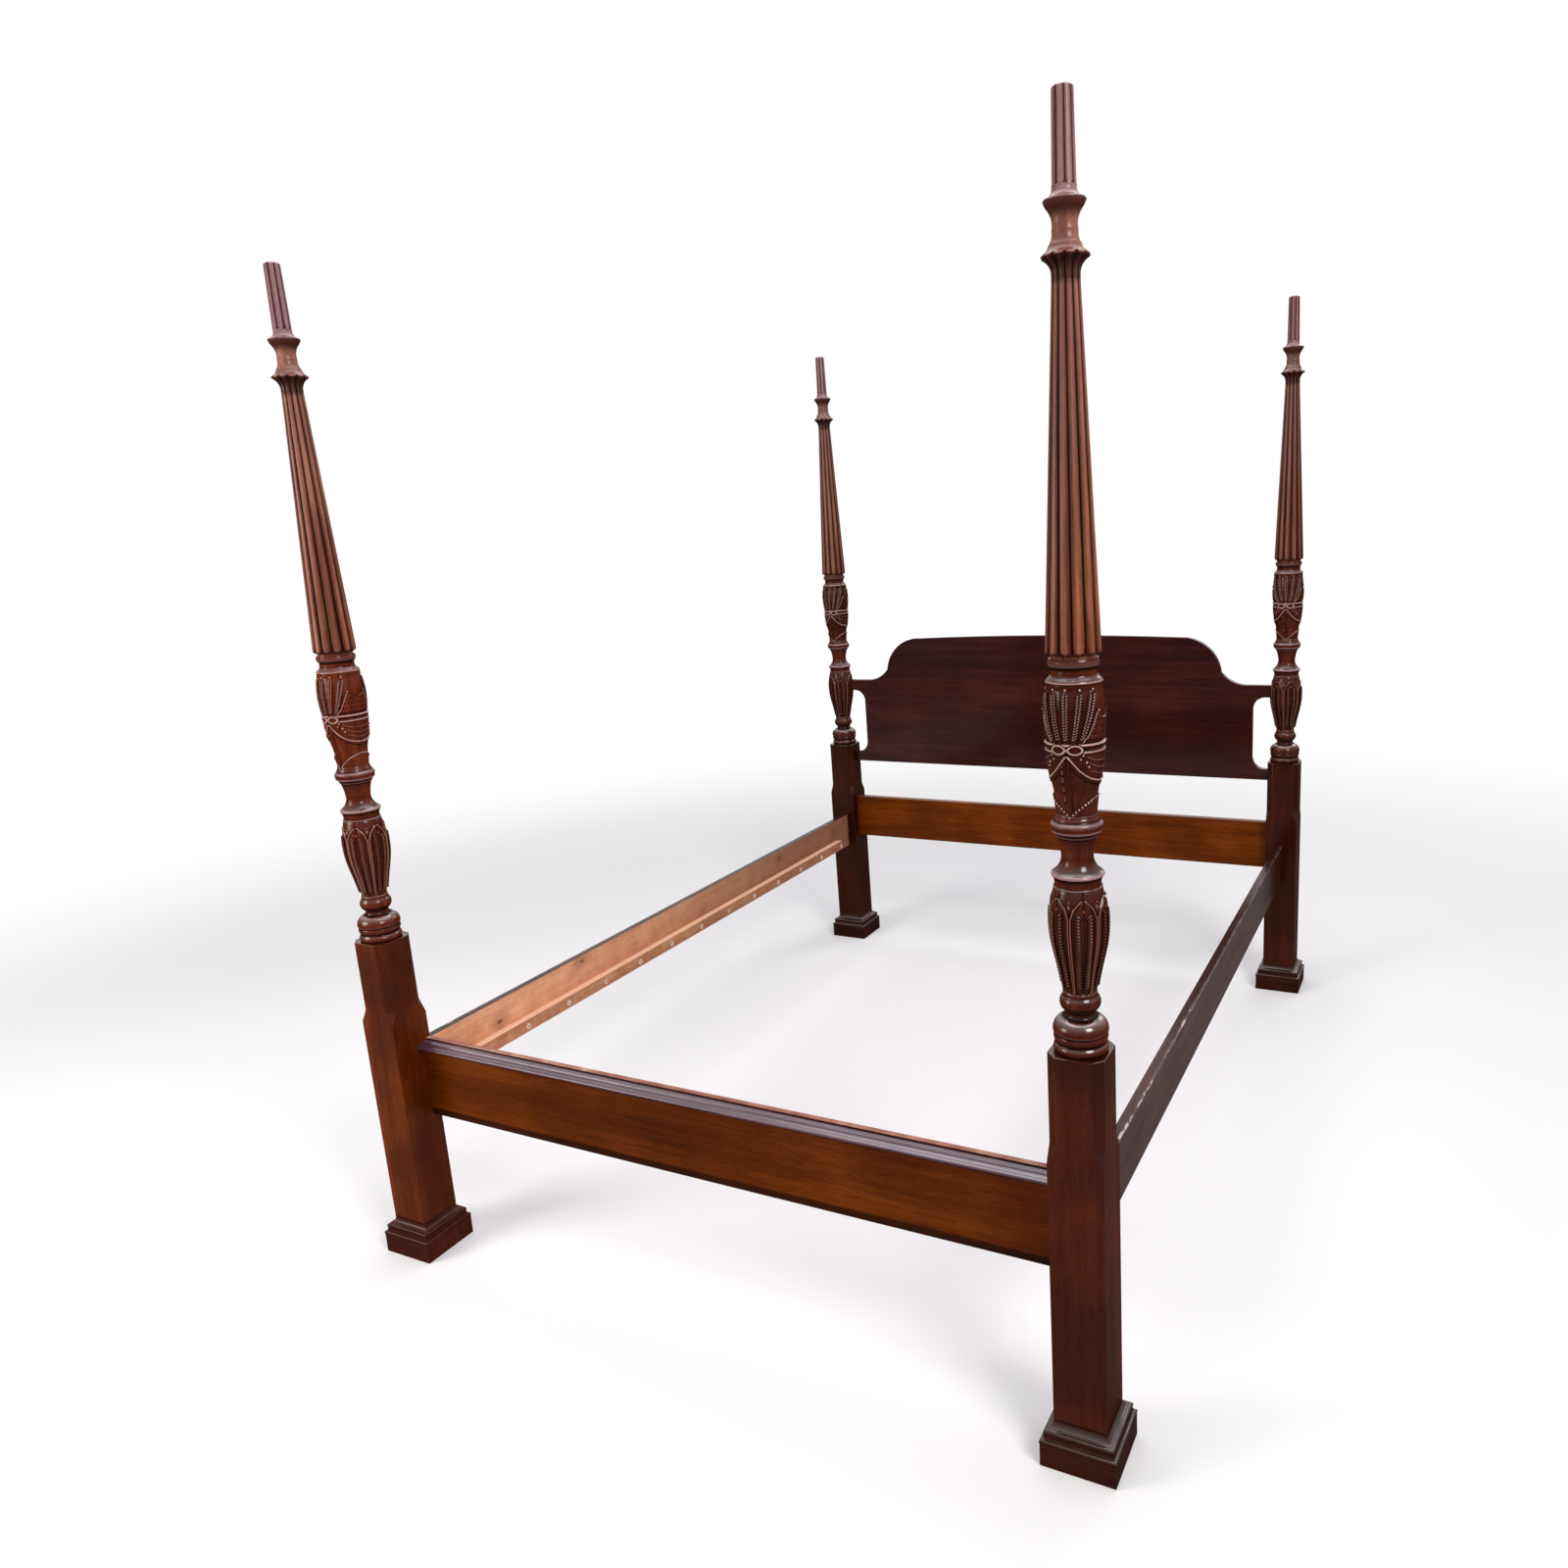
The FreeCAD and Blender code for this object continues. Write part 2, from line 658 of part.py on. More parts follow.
def side_rail(side, label):
    name = "side_rail_" + label
    board = block(name + "_board", "side_rail_thickness", "side_rail_length", "side_rail_height",
                  plate_x(side), 0, "side_rail_bottom")
    tools = []
    places = []
    x = side * (value("post_spacing_across") / 2 - value("side_rail_inset"))
    for end in (-1, 1):
        tools.append(block(name + "_plate_seat", "plate_width", "plate_thickness", "plate_height",
                           plate_x(side), "%d * (side_rail_length - plate_thickness) / 2" % end,
                           "side_rail_middle - plate_height / 2"))
        places += plate_screw_places(x, end * value("side_rail_length") / 2, -end)
    tools.append(screws(name + "_plate_screw_holes", places, value("plate_screw_length")))
    ledger_places = ledger_screw_places(side)
    tools.append(screws(name + "_ledger_screw_holes", ledger_places, value("ledger_screw_length")))
    node(cut(name, board, tools), name)
    node(screws(name + "_plate_screws", places, value("plate_screw_length")), "hook_plate_screws_" + label)


# Steel plate let into the end of a side rail, with two hooks that drop behind the post's plate
def hook_plate(side, end, label):
    name = "hook_plate_" + label
    plate = block(name + "_plate", "plate_width", "plate_thickness", "plate_height", plate_x(side),
                  "%d * (side_rail_length - plate_thickness) / 2" % end,
                  "side_rail_middle - plate_height / 2")
    solids = [plate]
    face = "side_rail_length / 2"
    for low in neck_bottoms():
        solids.append(block(name + "_neck", "hook_thickness", "hook_reach", "hook_neck", plate_x(side),
                            "%d * (%s + hook_reach / 2)" % (end, face), low))
        solids.append(block(name + "_nose", "hook_thickness", "hook_nose", "hook_drop + hook_neck",
                            plate_x(side), "%d * (%s + hook_reach - hook_nose / 2)" % (end, face),
                            low + " - hook_drop"))
    fused = fuse(name + "_hooks", solids)
    x = side * (value("post_spacing_across") / 2 - value("side_rail_inset"))
    places = plate_screw_places(x, end * value("side_rail_length") / 2, -end)
    holes = screws(name + "_screw_holes", places, value("plate_screw_length"))
    return node(cut(name, fused, [holes]), name)


# Slotted steel plate let into the face of a post
def slotted_plate(side, end, label):
    name = "slotted_plate_" + label
    plate = block(name + "_plate", "plate_width", "plate_thickness", "plate_height", plate_x(side),
                  "%d * (clear_length + plate_thickness) / 2" % end, "side_rail_middle - plate_height / 2")
    tools = []
    for low in neck_bottoms():
        tools.append(block(name + "_slot", "slot_width", "plate_thickness + 2 * cut_overrun", "slot_height",
                           plate_x(side), "%d * (clear_length + plate_thickness) / 2" % end,
                           low + " - running_gap"))
    places = slotted_plate_screw_places(side, end)
    tools.append(screws(name + "_screw_holes", places, value("plate_screw_length")))
    return node(cut(name, plate, tools), name)


def slotted_plate_screw_places(side, end):
    x = side * (value("post_spacing_across") / 2 - value("side_rail_inset"))
    return plate_screw_places(x, end * value("clear_length") / 2, end)


def ledger_screw_places(side):
    x = side * (value("post_spacing_across") / 2 - value("ledger_inset") - value("ledger_width") / 2)
    start = value("ledger_foot_gap") + value("ledger_screw_first") - value("clear_length") / 2
    room = value("ledger_length") - 2 * value("ledger_screw_first")
    count = int(room / value("ledger_screw_pitch")) + 1
    height = value("ledger_bottom") + value("ledger_screw_rise")
    return [(Vector(x, start + index * value("ledger_screw_pitch"), height), Vector(side, 0, 0))
            for index in range(count)]


# Strip screwed along the inside of a side rail, to carry the slats or the box spring
def ledger(side, label):
    name = "ledger_" + label
    strip = block(name + "_strip", "ledger_width", "ledger_length", "ledger_height",
                  "%d * (post_spacing_across / 2 - ledger_inset)" % side,
                  "(ledger_foot_gap - ledger_head_gap) / 2", "ledger_bottom")
    places = ledger_screw_places(side)
    length = value("ledger_screw_length")
    node(cut(name, strip, [screws(name + "_screw_holes", places, length)]), name)
    node(screws(name + "_screw_group", places, length), "ledger_screws_" + label)


sides = [(-1, "left"), (1, "right")]
ends = [(-1, "foot"), (1, "head")]
for end, end_name in ends:
    for side, side_name in sides:
        label = end_name + "_" + side_name
        plinth(side, end, label)
        post(side, end, label)
        column(side, end, label)
        finial(side, end, label)
        post_rods(side, end, label)
        hook_plate(side, end, label)
        slotted_plate(side, end, label)
for end, end_name in ends:
    cross_rail(end_name + "_rail", end)
foot_rail_moulding()
headboard()
for side, side_name in sides:
    side_rail(side, side_name)
    ledger(side, side_name)
plate_screws = []
for end, end_name in ends:
    for side, side_name in sides:
        plate_screws += slotted_plate_screw_places(side, end)
node(screws("plate_screw_group", plate_screws, value("plate_screw_length")), "slotted_plate_screws")

document.recompute()
for item in document.Objects:
    if "Invalid" in item.State or "Error" in item.State:
        raise RuntimeError("%s failed: %s" % (item.Label, item.State))
for item in nodes:
    if item.Shape.isNull() or not item.Shape.isValid():
        raise RuntimeError("%s has no valid shape" % item.Label)

os.makedirs("parts", exist_ok=True)
for item in nodes:
    item.Shape.exportStep("parts/%s.step" % item.Label)
print("%d nodes written" % len(nodes))
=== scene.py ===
import bmesh
import bpy
import numpy as np
from math import cos, pi, radians, sin, tau
from mathutils import Matrix, Vector
from mathutils.bvhtree import BVHTree


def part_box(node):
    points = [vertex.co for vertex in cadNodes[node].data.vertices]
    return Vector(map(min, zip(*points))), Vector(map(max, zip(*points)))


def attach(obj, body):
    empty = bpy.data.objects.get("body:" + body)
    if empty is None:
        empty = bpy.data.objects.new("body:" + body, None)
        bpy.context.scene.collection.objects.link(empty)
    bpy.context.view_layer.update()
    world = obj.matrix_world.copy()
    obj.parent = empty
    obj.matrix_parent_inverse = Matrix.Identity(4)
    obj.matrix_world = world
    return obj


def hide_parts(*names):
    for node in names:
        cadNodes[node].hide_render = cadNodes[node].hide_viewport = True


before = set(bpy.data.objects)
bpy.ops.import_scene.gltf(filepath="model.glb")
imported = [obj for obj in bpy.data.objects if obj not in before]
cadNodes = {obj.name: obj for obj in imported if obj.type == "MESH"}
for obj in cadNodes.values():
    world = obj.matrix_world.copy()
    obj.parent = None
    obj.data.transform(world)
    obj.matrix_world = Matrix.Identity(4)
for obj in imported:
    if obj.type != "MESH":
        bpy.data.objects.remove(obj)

# A carved four-poster bed in mahogany. X runs across the bed, Y from foot to head, Z up.
scene = bpy.context.scene
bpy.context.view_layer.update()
print("frame loaded:", len(cadNodes), "nodes")


# Node trees, written as expressions
class Value:
    def __init__(self, graph, socket):
        self.graph = graph
        self.socket = socket

    def __add__(self, other):
        return self.graph.maths("ADD", self, other)

    def __sub__(self, other):
        return self.graph.maths("SUBTRACT", self, other)

    def __rsub__(self, other):
        return self.graph.maths("SUBTRACT", other, self)

    def __mul__(self, other):
        return self.graph.maths("MULTIPLY", self, other)

    def __truediv__(self, other):
        return self.graph.maths("DIVIDE", self, other)

    def __pow__(self, other):
        return self.graph.maths("POWER", self, other)

    __radd__ = __add__
    __rmul__ = __mul__


class Graph:
    def __init__(self, tree):
        self.tree = tree

    def node(self, kind, settings=None, sockets=None, output=0):
        item = self.tree.nodes.new(kind)
        for name, setting in (settings or {}).items():
            if name == "stops":  # a colour ramp's stops
                ramp = item.color_ramp
                while len(ramp.elements) < len(setting):
                    ramp.elements.new(0.5)
                for stop, (place, colour) in zip(ramp.elements, setting):
                    stop.position = place
                    stop.color = (*colour, 1)
            else:
                setattr(item, name, setting)
        for name, content in (sockets or {}).items():
            self.feed(item.inputs[name], content)
        return Value(self, item.outputs[output]) if item.outputs else item

    def feed(self, socket, content):
        if isinstance(content, Value):
            self.tree.links.new(content.socket, socket)
        elif socket.type == "VECTOR" and isinstance(content, (int, float)):
            socket.default_value = (content, content, content)
        elif socket.type == "RGBA" and len(content) == 3:
            socket.default_value = (*content, 1)
        else:
            socket.default_value = content

    def maths(self, operation, *terms):
        vectors = [term for term in terms if isinstance(term, Value) and term.socket.type == "VECTOR"]
        kind = "ShaderNodeVectorMath" if vectors else "ShaderNodeMath"
        return self.node(kind, {"operation": operation}, dict(enumerate(terms)))

    def rise(self, content, low, high):
        return self.node("ShaderNodeMapRange", {"interpolation_type": "SMOOTHSTEP"},
                         {"Value": content, "From Min": low, "From Max": high})

    def blend(self, share, first, second):
        return self.node("ShaderNodeMix", {"data_type": "RGBA"}, {0: share, 6: first, 7: second}, 2)

    def noise(self, place, scale, detail, more=None):
        sockets = {"Vector": place, "Scale": scale, "Detail": detail, **(more or {})}
        return self.node("ShaderNodeTexNoise", {}, sockets)

    def noises(self, place, settings, *kinds):
        return [self.noise(place, *settings[kind]) for kind in kinds]

    def mapped(self, place, scale, location=0.0):
        return self.node("ShaderNodeMapping", {}, {"Vector": place, "Location": location, "Scale": scale})

    def stored(self, name):
        return self.node("ShaderNodeAttribute", {"attribute_name": name}, output="Fac")

    def field(self, name, kind="FLOAT"):
        return self.node("GeometryNodeInputNamedAttribute", {"data_type": kind}, {"Name": name})

    def split(self, vector):
        parts = self.node("ShaderNodeSeparateXYZ", {}, {0: vector}).socket.node
        return [Value(self, socket) for socket in parts.outputs]


def tone(red, green, blue):  # steps of 0 to 255 as on a screen, made linear
    return tuple((part / 255 / 12.92) if part < 11 else ((part / 255 + 0.055) / 1.055) ** 2.4
                 for part in (red, green, blue))


def newMaterial(name):
    material = bpy.data.materials.new(name)
    material.use_nodes = True
    material.node_tree.nodes.clear()
    graph = Graph(material.node_tree)
    return material, graph, graph.node("ShaderNodeTexCoord", output="Object")


def finishMaterial(graph, colour, height, bump, sockets):
    normal = graph.node("ShaderNodeBump", {}, {**bump, "Height": height})
    surface = graph.node("ShaderNodeBsdfPrincipled", {}, {"Base Color": colour, "Normal": normal, **sockets})
    graph.node("ShaderNodeOutputMaterial", {}, {"Surface": surface})


# Camera at the photograph's place, for a square frame
view = {
    "place": (1.320695, -2.733074, 1.605890),
    "yaw": 0.481845,
    "pitch": -0.229627,
    "roll": -0.0598378,
    "focalLength": 26.94,
    "filmWidth": 36,
    "shift": -0.0586,
    "farthest": 200,
}


def setCamera():
    yaw, pitch, roll = view["yaw"], view["pitch"], view["roll"]
    ahead = Vector((-sin(yaw) * cos(pitch), cos(yaw) * cos(pitch), sin(pitch)))
    level = Vector((cos(yaw), sin(yaw), 0))
    above = level.cross(ahead)
    right = level * cos(roll) + above * sin(roll)
    top = above * cos(roll) - level * sin(roll)
    lens = bpy.data.cameras.new("camera")
    lens.sensor_width = view["filmWidth"]
    lens.lens = view["focalLength"]
    lens.shift_x = view["shift"]
    lens.clip_end = view["farthest"]
    camera = bpy.data.objects.new("camera", lens)
    turn = Matrix((right, top, -ahead)).transposed()
    camera.matrix_world = Matrix.Translation(view["place"]) @ turn.to_4x4()
    scene.collection.objects.link(camera)
    scene.camera = camera


# Pale floor, white surroundings and soft lamps
studio = {
    "floorTone": (0.86, 0.86, 0.86),
    "floorHalf": 60,
    "fadeFrom": 2.0,  # from here to fadeTo the floor turns to plain white
    "fadeTo": 5.0,
    "skyLevel": 0.36,
    "lamps": [  # name, place, aim, width, power, colour
        ("key_lamp", (3.4, -2.6, 3.6), (0.1, -0.2, 0.8), 1.8, 120, (1.0, 0.97, 0.93)),
        ("fill_lamp", (-2.3, -3.1, 1.7), (-0.8, -1.0, 0.7), 1.6, 66, (1.0, 0.96, 0.92)),
        ("back_lamp", (1.2, 4.6, 3.6), (0.2, 0.6, 0.9), 2.4, 40, (1.0, 0.98, 0.96)),
        ("over_lamp", (0.2, 0.2, 4.9), (0.2, 0.2, 0.0), 5.2, 140, (0.93, 0.90, 1.0)),
    ],
}


def setStudio():
    scene.view_settings.view_transform = "Standard"
    world = bpy.data.worlds.new("surroundings")
    scene.world = world
    world.use_nodes = True
    world.node_tree.nodes.clear()
    graph = Graph(world.node_tree)
    seen = graph.node("ShaderNodeLightPath", output="Is Camera Ray")
    seen = graph.maths("MAXIMUM", seen, graph.node("ShaderNodeLightPath", output="Is Glossy Ray"))
    seen = graph.maths("MAXIMUM", seen, graph.node("ShaderNodeLightPath", output="Is Transmission Ray"))
    strength = seen * (1 - studio["skyLevel"]) + studio["skyLevel"]
    light = graph.node("ShaderNodeBackground", {}, {"Color": (1, 1, 1), "Strength": strength})
    graph.node("ShaderNodeOutputWorld", {}, {"Surface": light})

    material, graph, across = newMaterial("floor_paper")
    distance = graph.node("ShaderNodeVectorMath", {"operation": "LENGTH"}, {0: across}, "Value")
    camera = graph.node("ShaderNodeLightPath", output="Is Camera Ray")
    share = graph.rise(distance, studio["fadeFrom"], studio["fadeTo"]) * camera
    paper = graph.node("ShaderNodeBsdfDiffuse", {}, {"Color": studio["floorTone"]})
    white = graph.node("ShaderNodeEmission", {}, {"Color": (1, 1, 1), "Strength": 1.0})
    surface = graph.node("ShaderNodeMixShader", {}, {0: share, 1: paper, 2: white})
    graph.node("ShaderNodeOutputMaterial", {}, {"Surface": surface})
    half = studio["floorHalf"]
    mesh = bpy.data.meshes.new("floor")
    corners = [(-half, -half, 0), (half, -half, 0), (half, half, 0), (-half, half, 0)]
    mesh.from_pydata(corners, [], [(0, 1, 2, 3)])
    mesh.materials.append(material)
    floor = bpy.data.objects.new("floor", mesh)
    scene.collection.objects.link(floor)

    for name, place, target, size, power, colour in studio["lamps"]:
        lamp = bpy.data.lights.new(name, "AREA")
        lamp.shape = "DISK"
        lamp.size = size
        lamp.energy = power
        lamp.color = colour
        item = bpy.data.objects.new(name, lamp)
        item.location = place
        item.rotation_euler = (Vector(target) - Vector(place)).to_track_quat("-Z", "Y").to_euler()
        scene.collection.objects.link(item)


setCamera()
setStudio()
print("camera and studio set")


# Finished wood. A noise is its scale, its detail and any other sockets, and a rise is where a mask starts
# and where it is full.
def grades(low, high, *tones):  # dark, middle and light tones of the grain
    return [(level, tone(*steps)) for level, steps in zip((low, 0.50, high), tones)]


grainStretch = {"x": (0.05, 1, 1), "y": (1, 0.05, 1), "z": (1, 1, 0.05)}
woodGrain = {
    "figure": (11, 3, {"Distortion": 0.6}), "streaks": (75, 4, {"Roughness": 0.65}), "fibres": (420, 2),
    "pores": (1100, 1), "clouds": (5, 3), "seedStep": (1, 0.7, 0.4),
    "figureShare": 0.34, "fibreShare": 0.10, "cloudShare": 0.56, "poreRise": (0.57, 0.66), "poreShare": 0.45,
    "underShadeRise": (0.05, 0.60), "underShadeShare": 0.9, "deepest": 0.94,
    "bandEdges": (0.012, 0.006), "paintedShadeShare": 0.78, "footShadeLine": (0.013, 0.021), "mouldingShadowLine": 0.016,
    "fibreHeight": 0.5, "poreHeight": 0.6, "bump": {"Strength": 0.14, "Distance": 0.0005},
    "roughness": 0.42, "hollowRoughness": 0.3, "leastCoat": 0.6, "streakCoat": 0.8,
}
usualWood = {"grain": "z", "streak": 0.30, "lift": 1, "skyCoat": 0.80, "coatRoughness": 0.20, "coatIor": 2.0,
             "polishPower": 1.5}
woodLooks = {
    "post_wood": {
        "stops": grades(0.34, 0.68, (36, 9, 3), (72, 25, 9), (114, 50, 20)),
        "glazeAndShadeTone": tone(9, 2, 2), "crestTone": tone(196, 154, 146), "lift": 0.70,
        "coat": 0.05, "coatRoughness": 0.17, "seed": 0.0,
    },
    "column_wood": {
        "stops": grades(0.36, 0.66, (54, 21, 13), (116, 62, 38), (182, 118, 84)),
        "glazeAndShadeTone": tone(34, 12, 12), "crestTone": tone(184, 122, 98), "streak": 0.42,
        # Painted shade on the collar, a painted sheen towards the top and a painted highlight on the reeds'
        # crests
        "paintedShadeBand": (1.897, 1.921), "paintedSheen": (1.42, 1.92, 0.16), "paintedLightTone": tone(172, 134, 130),
        "coat": 0.09, "seed": 3.1,
    },
    # Mahogany with a painted mauve sheen in its tones, and painted shade on the foot
    "finial_wood": {
        "stops": grades(0.34, 0.68, (82, 48, 46), (126, 90, 93), (168, 131, 132)),
        "glazeAndShadeTone": tone(62, 27, 22), "paintedShadeBand": (1.970, 1.993),
        "coat": 0.10, "skyCoat": 0.90, "coatRoughness": 0.18, "seed": 4.2,
    },
    "block_wood": {
        "stops": grades(0.30, 0.72, (28, 7, 2), (54, 17, 5), (88, 36, 10)),
        "glazeAndShadeTone": tone(14, 4, 3), "streak": 0.16, "coat": 0.045, "seed": 5.7,
    },
    "foot_wood": {
        "stops": grades(0.32, 0.70, (30, 9, 5), (56, 19, 11), (94, 40, 24)),
        "grain": "x", "glazeAndShadeTone": tone(12, 4, 3), "streak": 0.20, "lift": 0.52,
        "coat": 0.04, "skyCoat": 0.66, "coatRoughness": 0.22, "seed": 6.3,
    },
    "rail_wood": {
        "stops": grades(0.32, 0.70, (46, 15, 2), (86, 35, 3), (126, 60, 10)),
        "grain": "x", "glazeAndShadeTone": tone(16, 6, 3), "streak": 0.26,
        "coat": 0.025, "skyCoat": 0.60, "coatRoughness": 0.24, "seed": 8.2,
    },
    "side_wood": {
        "stops": grades(0.34, 0.68, (30, 10, 5), (50, 21, 12), (82, 40, 25)),
        "grain": "y", "glazeAndShadeTone": tone(20, 8, 6), "streak": 0.26,
        "coat": 0.17, "skyCoat": 0.50, "coatIor": 1.5, "seed": 9.4,
    },
    "headboard_wood": {
        "stops": grades(0.34, 0.68, (26, 4, 4), (44, 10, 9), (70, 25, 19)),
        "grain": "x", "glazeAndShadeTone": tone(14, 4, 4),
        "coat": 0.09, "skyCoat": 0.60, "coatRoughness": 0.16, "seed": 12.6,
    },
    # Mahogany tones with a painted purple sheen
    "moulding_wood": {
        "stops": grades(0.34, 0.68, (46, 24, 32), (78, 50, 62), (112, 80, 94)),
        "grain": "x", "glazeAndShadeTone": tone(18, 7, 9), "streak": 0.26,
        "coat": 0.07, "skyCoat": 0.90, "seed": 15.3,
    },
}
# Other shades: turned rings, lower vases, and lit and shaded copies of the finishes, the foot-left post
# lighter with painted light and the head posts darker with painted shade
# Rings: more coat on upward faces, and a violet crest tone that is a painted highlight
ringPolishAndHighlight = {"coat": 0.03, "skyCoat": 1.0, "coatIor": 2.6, "polishPower": 2.6,
              "crestTone": tone(192, 152, 156)}
otherShades = {
    "ring_wood": ("post_wood", {"lift": 0.90, **ringPolishAndHighlight}),
    "leaf_wood": ("post_wood", {"lift": 0.68, "crestTone": tone(130, 84, 72)}),
    "warm_post_wood": ("post_wood", {"lift": 1.70}),
    "warm_ring_wood": ("post_wood", {"lift": 1.50, **ringPolishAndHighlight}),
    "warm_leaf_wood": ("post_wood", {"lift": 1.40, "crestTone": tone(164, 114, 98)}),
    "warm_column_wood": ("column_wood", {"lift": 0.80}),
    "warm_block_wood": ("block_wood", {
        "stops": grades(0.34, 0.66, (40, 12, 3), (76, 29, 5), (118, 52, 14)), "glazeAndShadeTone": tone(20, 6, 3),
        "seed": 7.3}),
    "deep_column_wood": ("column_wood", {"lift": 0.62}),
    "deep_block_wood": ("block_wood", {"lift": 0.72}),
    "warm_foot_wood": ("foot_wood", {"lift": 1.05, "skyCoat": 0.16}),
}
for name, (base, change) in otherShades.items():
    woodLooks[name] = {**woodLooks[base], **change}
# Which copy each post takes: painted light on the foot-left post, painted shade on the head posts
postShades = {"foot_left": "warm_", "foot_right": "", "head_left": "deep_", "head_right": "deep_"}
wear = {  # scuffs and chips along a rail's top edge, thicker from its foot end
    "chipTone": tone(186, 164, 156), "scuffTone": tone(118, 98, 104), "reach": 0.0045,
    "stretch": (1, 0.22, 1), "patches": (80, 5, {"Roughness": 0.7}), "scuffRise": (0.38, 0.60),
    "scuffShare": 0.6,
    "footEnd": (-0.9, 0.3), "footShare": 0.12, "edgeShare": 0.10, "chipRise": (0.755, 0.79),
}


def mahogany(name, look):
    look = {**usualWood, **look}
    material, graph, place = newMaterial(name)
    up = graph.split(place)[2]
    shift = [look["seed"] * step for step in woodGrain["seedStep"]]
    grain = graph.mapped(place, grainStretch[look["grain"]], shift)
    figure, streaks, fibres, pores = graph.noises(grain, woodGrain, "figure", "streaks", "fibres", "pores")
    clouds = graph.noise(place, *woodGrain["clouds"])
    pores = graph.rise(pores, *woodGrain["poreRise"])
    mixed = (figure * woodGrain["figureShare"] + streaks * look["streak"] + fibres * woodGrain["fibreShare"]
             + clouds * (woodGrain["cloudShare"] - look["streak"]))
    stops = [(level, tuple(part * look["lift"] for part in colour)) for level, colour in look["stops"]]
    colour = graph.node("ShaderNodeValToRGB", {"stops": stops}, {"Fac": mixed})
    colour = graph.blend(pores * woodGrain["poreShare"], colour, look["glazeAndShadeTone"])
    # Hollows hold dark glaze deepened with painted shade, undersides get painted shade, and crests are paler
    # from rubbing and a painted highlight
    depth, sky = graph.stored("depth"), graph.stored("sky")
    under = graph.rise(sky * -1, *woodGrain["underShadeRise"]) * woodGrain["underShadeShare"]
    hollow = graph.maths("MINIMUM", graph.maths("MAXIMUM", depth, under), woodGrain["deepest"])
    crest = graph.maths("MAXIMUM", depth * -1, 0.0)
    colour = graph.blend(hollow, colour, look["glazeAndShadeTone"])
    colour = graph.blend(crest, colour, look.get("crestTone", look["stops"][2][1]))
    # Painted sheen: the column's upper part blends towards a pale tone that stands in for light on it
    if "paintedSheen" in look:  # the column is paler towards its top
        low, high, share = look["paintedSheen"]
        colour = graph.blend(graph.rise(up, low, high) * share * (1 - hollow), colour, look["paintedLightTone"])
    # Painted shade: a dark band on the column's collar rim and on the finial's foot
    if "paintedShadeBand" in look:  # the column's collar and the finial's foot are darker
        low, high = look["paintedShadeBand"]
        before, after = woodGrain["bandEdges"]
        inside = graph.rise(up, low - before, low) * (1 - graph.rise(up, high, high + after))
        colour = graph.blend(inside * woodGrain["paintedShadeShare"], colour, look["glazeAndShadeTone"])
    # Painted shade along the foot rail's lower edge and a painted shadow under its moulding
    if "paintedShadeLines" in look:  # dark lines along the foot rail's lower edge and under its moulding
        low, high = look["paintedShadeLines"]
        foot = 1 - graph.rise(up, *(low + part for part in woodGrain["footShadeLine"]))
        dark = graph.maths("MAXIMUM", foot, graph.rise(up, high - woodGrain["mouldingShadowLine"], high))
        colour = graph.blend(dark * woodGrain["paintedShadeShare"], colour, look["glazeAndShadeTone"])
    if "wornEdge" in look:
        colour = worn(graph, place, colour, *look["wornEdge"])
    height = fibres * woodGrain["fibreHeight"] - pores * woodGrain["poreHeight"]
    roughness = woodGrain["roughness"] + hollow * woodGrain["hollowRoughness"]
    polish = graph.maths("MAXIMUM", sky, 0.0) ** look["polishPower"] * look["skyCoat"]
    coat = (1 + crest) * look["coat"] + polish
    coat = coat * (1 - hollow) * (woodGrain["leastCoat"] + streaks * woodGrain["streakCoat"])
    finishMaterial(graph, colour, height, woodGrain["bump"], {
        "Roughness": roughness, "Specular IOR Level": 0.0, "Coat Weight": coat, "Coat IOR": look["coatIor"],
        "Coat Roughness": look["coatRoughness"]})
    return material


def worn(graph, place, colour, across, high):
    x, y, z = graph.split(place)
    apart = graph.maths("MAXIMUM", across - graph.maths("ABSOLUTE", x), high - z)
    patches = graph.noise(graph.mapped(place, wear["stretch"]), *wear["patches"])
    near = 1 - graph.rise(apart, 0.0, wear["reach"] * 2)
    scuffs = near * graph.rise(patches, *wear["scuffRise"]) * wear["scuffShare"]
    colour = graph.blend(scuffs, colour, wear["scuffTone"])
    foot = 1 - graph.rise(y, *wear["footEnd"])
    chips = graph.rise(patches + near * wear["edgeShare"] + foot * wear["footShare"], *wear["chipRise"])
    chips = chips * (1 - graph.rise(apart, wear["reach"], wear["reach"] * 2))
    return graph.blend(chips, colour, wear["chipTone"])


# Bare wood. Knots are measured from the middle of the foot posts.
lowPlinth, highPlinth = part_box("plinth_foot_left")
railStart = (lowPlinth.y + highPlinth.y) / 2
bareLooks = {
    "bare_wood": {
        "stops": grades(0.36, 0.64, (186, 122, 88), (218, 155, 117), (238, 184, 146)),
        "grain": "y", "farShade": (-0.9, 0.9, 0.85), "shift": 0.0,
        "knots": [(1.994, 0.447), (1.605, 0.463), (0.594, 0.474), (0.283, 0.434)],
    },
    "ledger_wood": {
        "stops": grades(0.36, 0.64, (144, 90, 62), (172, 115, 82), (200, 148, 112)),
        "grain": "y", "farShade": (-0.9, 0.9, 0.45), "paintedLightTone": tone(244, 200, 168), "knots": [], "shift": 4.3,
        "spots": {"first": 0.153, "pitch": 0.150, "rise": 0.012, "tone": tone(232, 204, 194)},
    },
    "rubbed_wood": {
        "stops": grades(0.38, 0.62, (106, 52, 48), (158, 106, 92), (206, 168, 144)),
        "grain": "x", "knots": [], "shift": 7.9,
    },
}
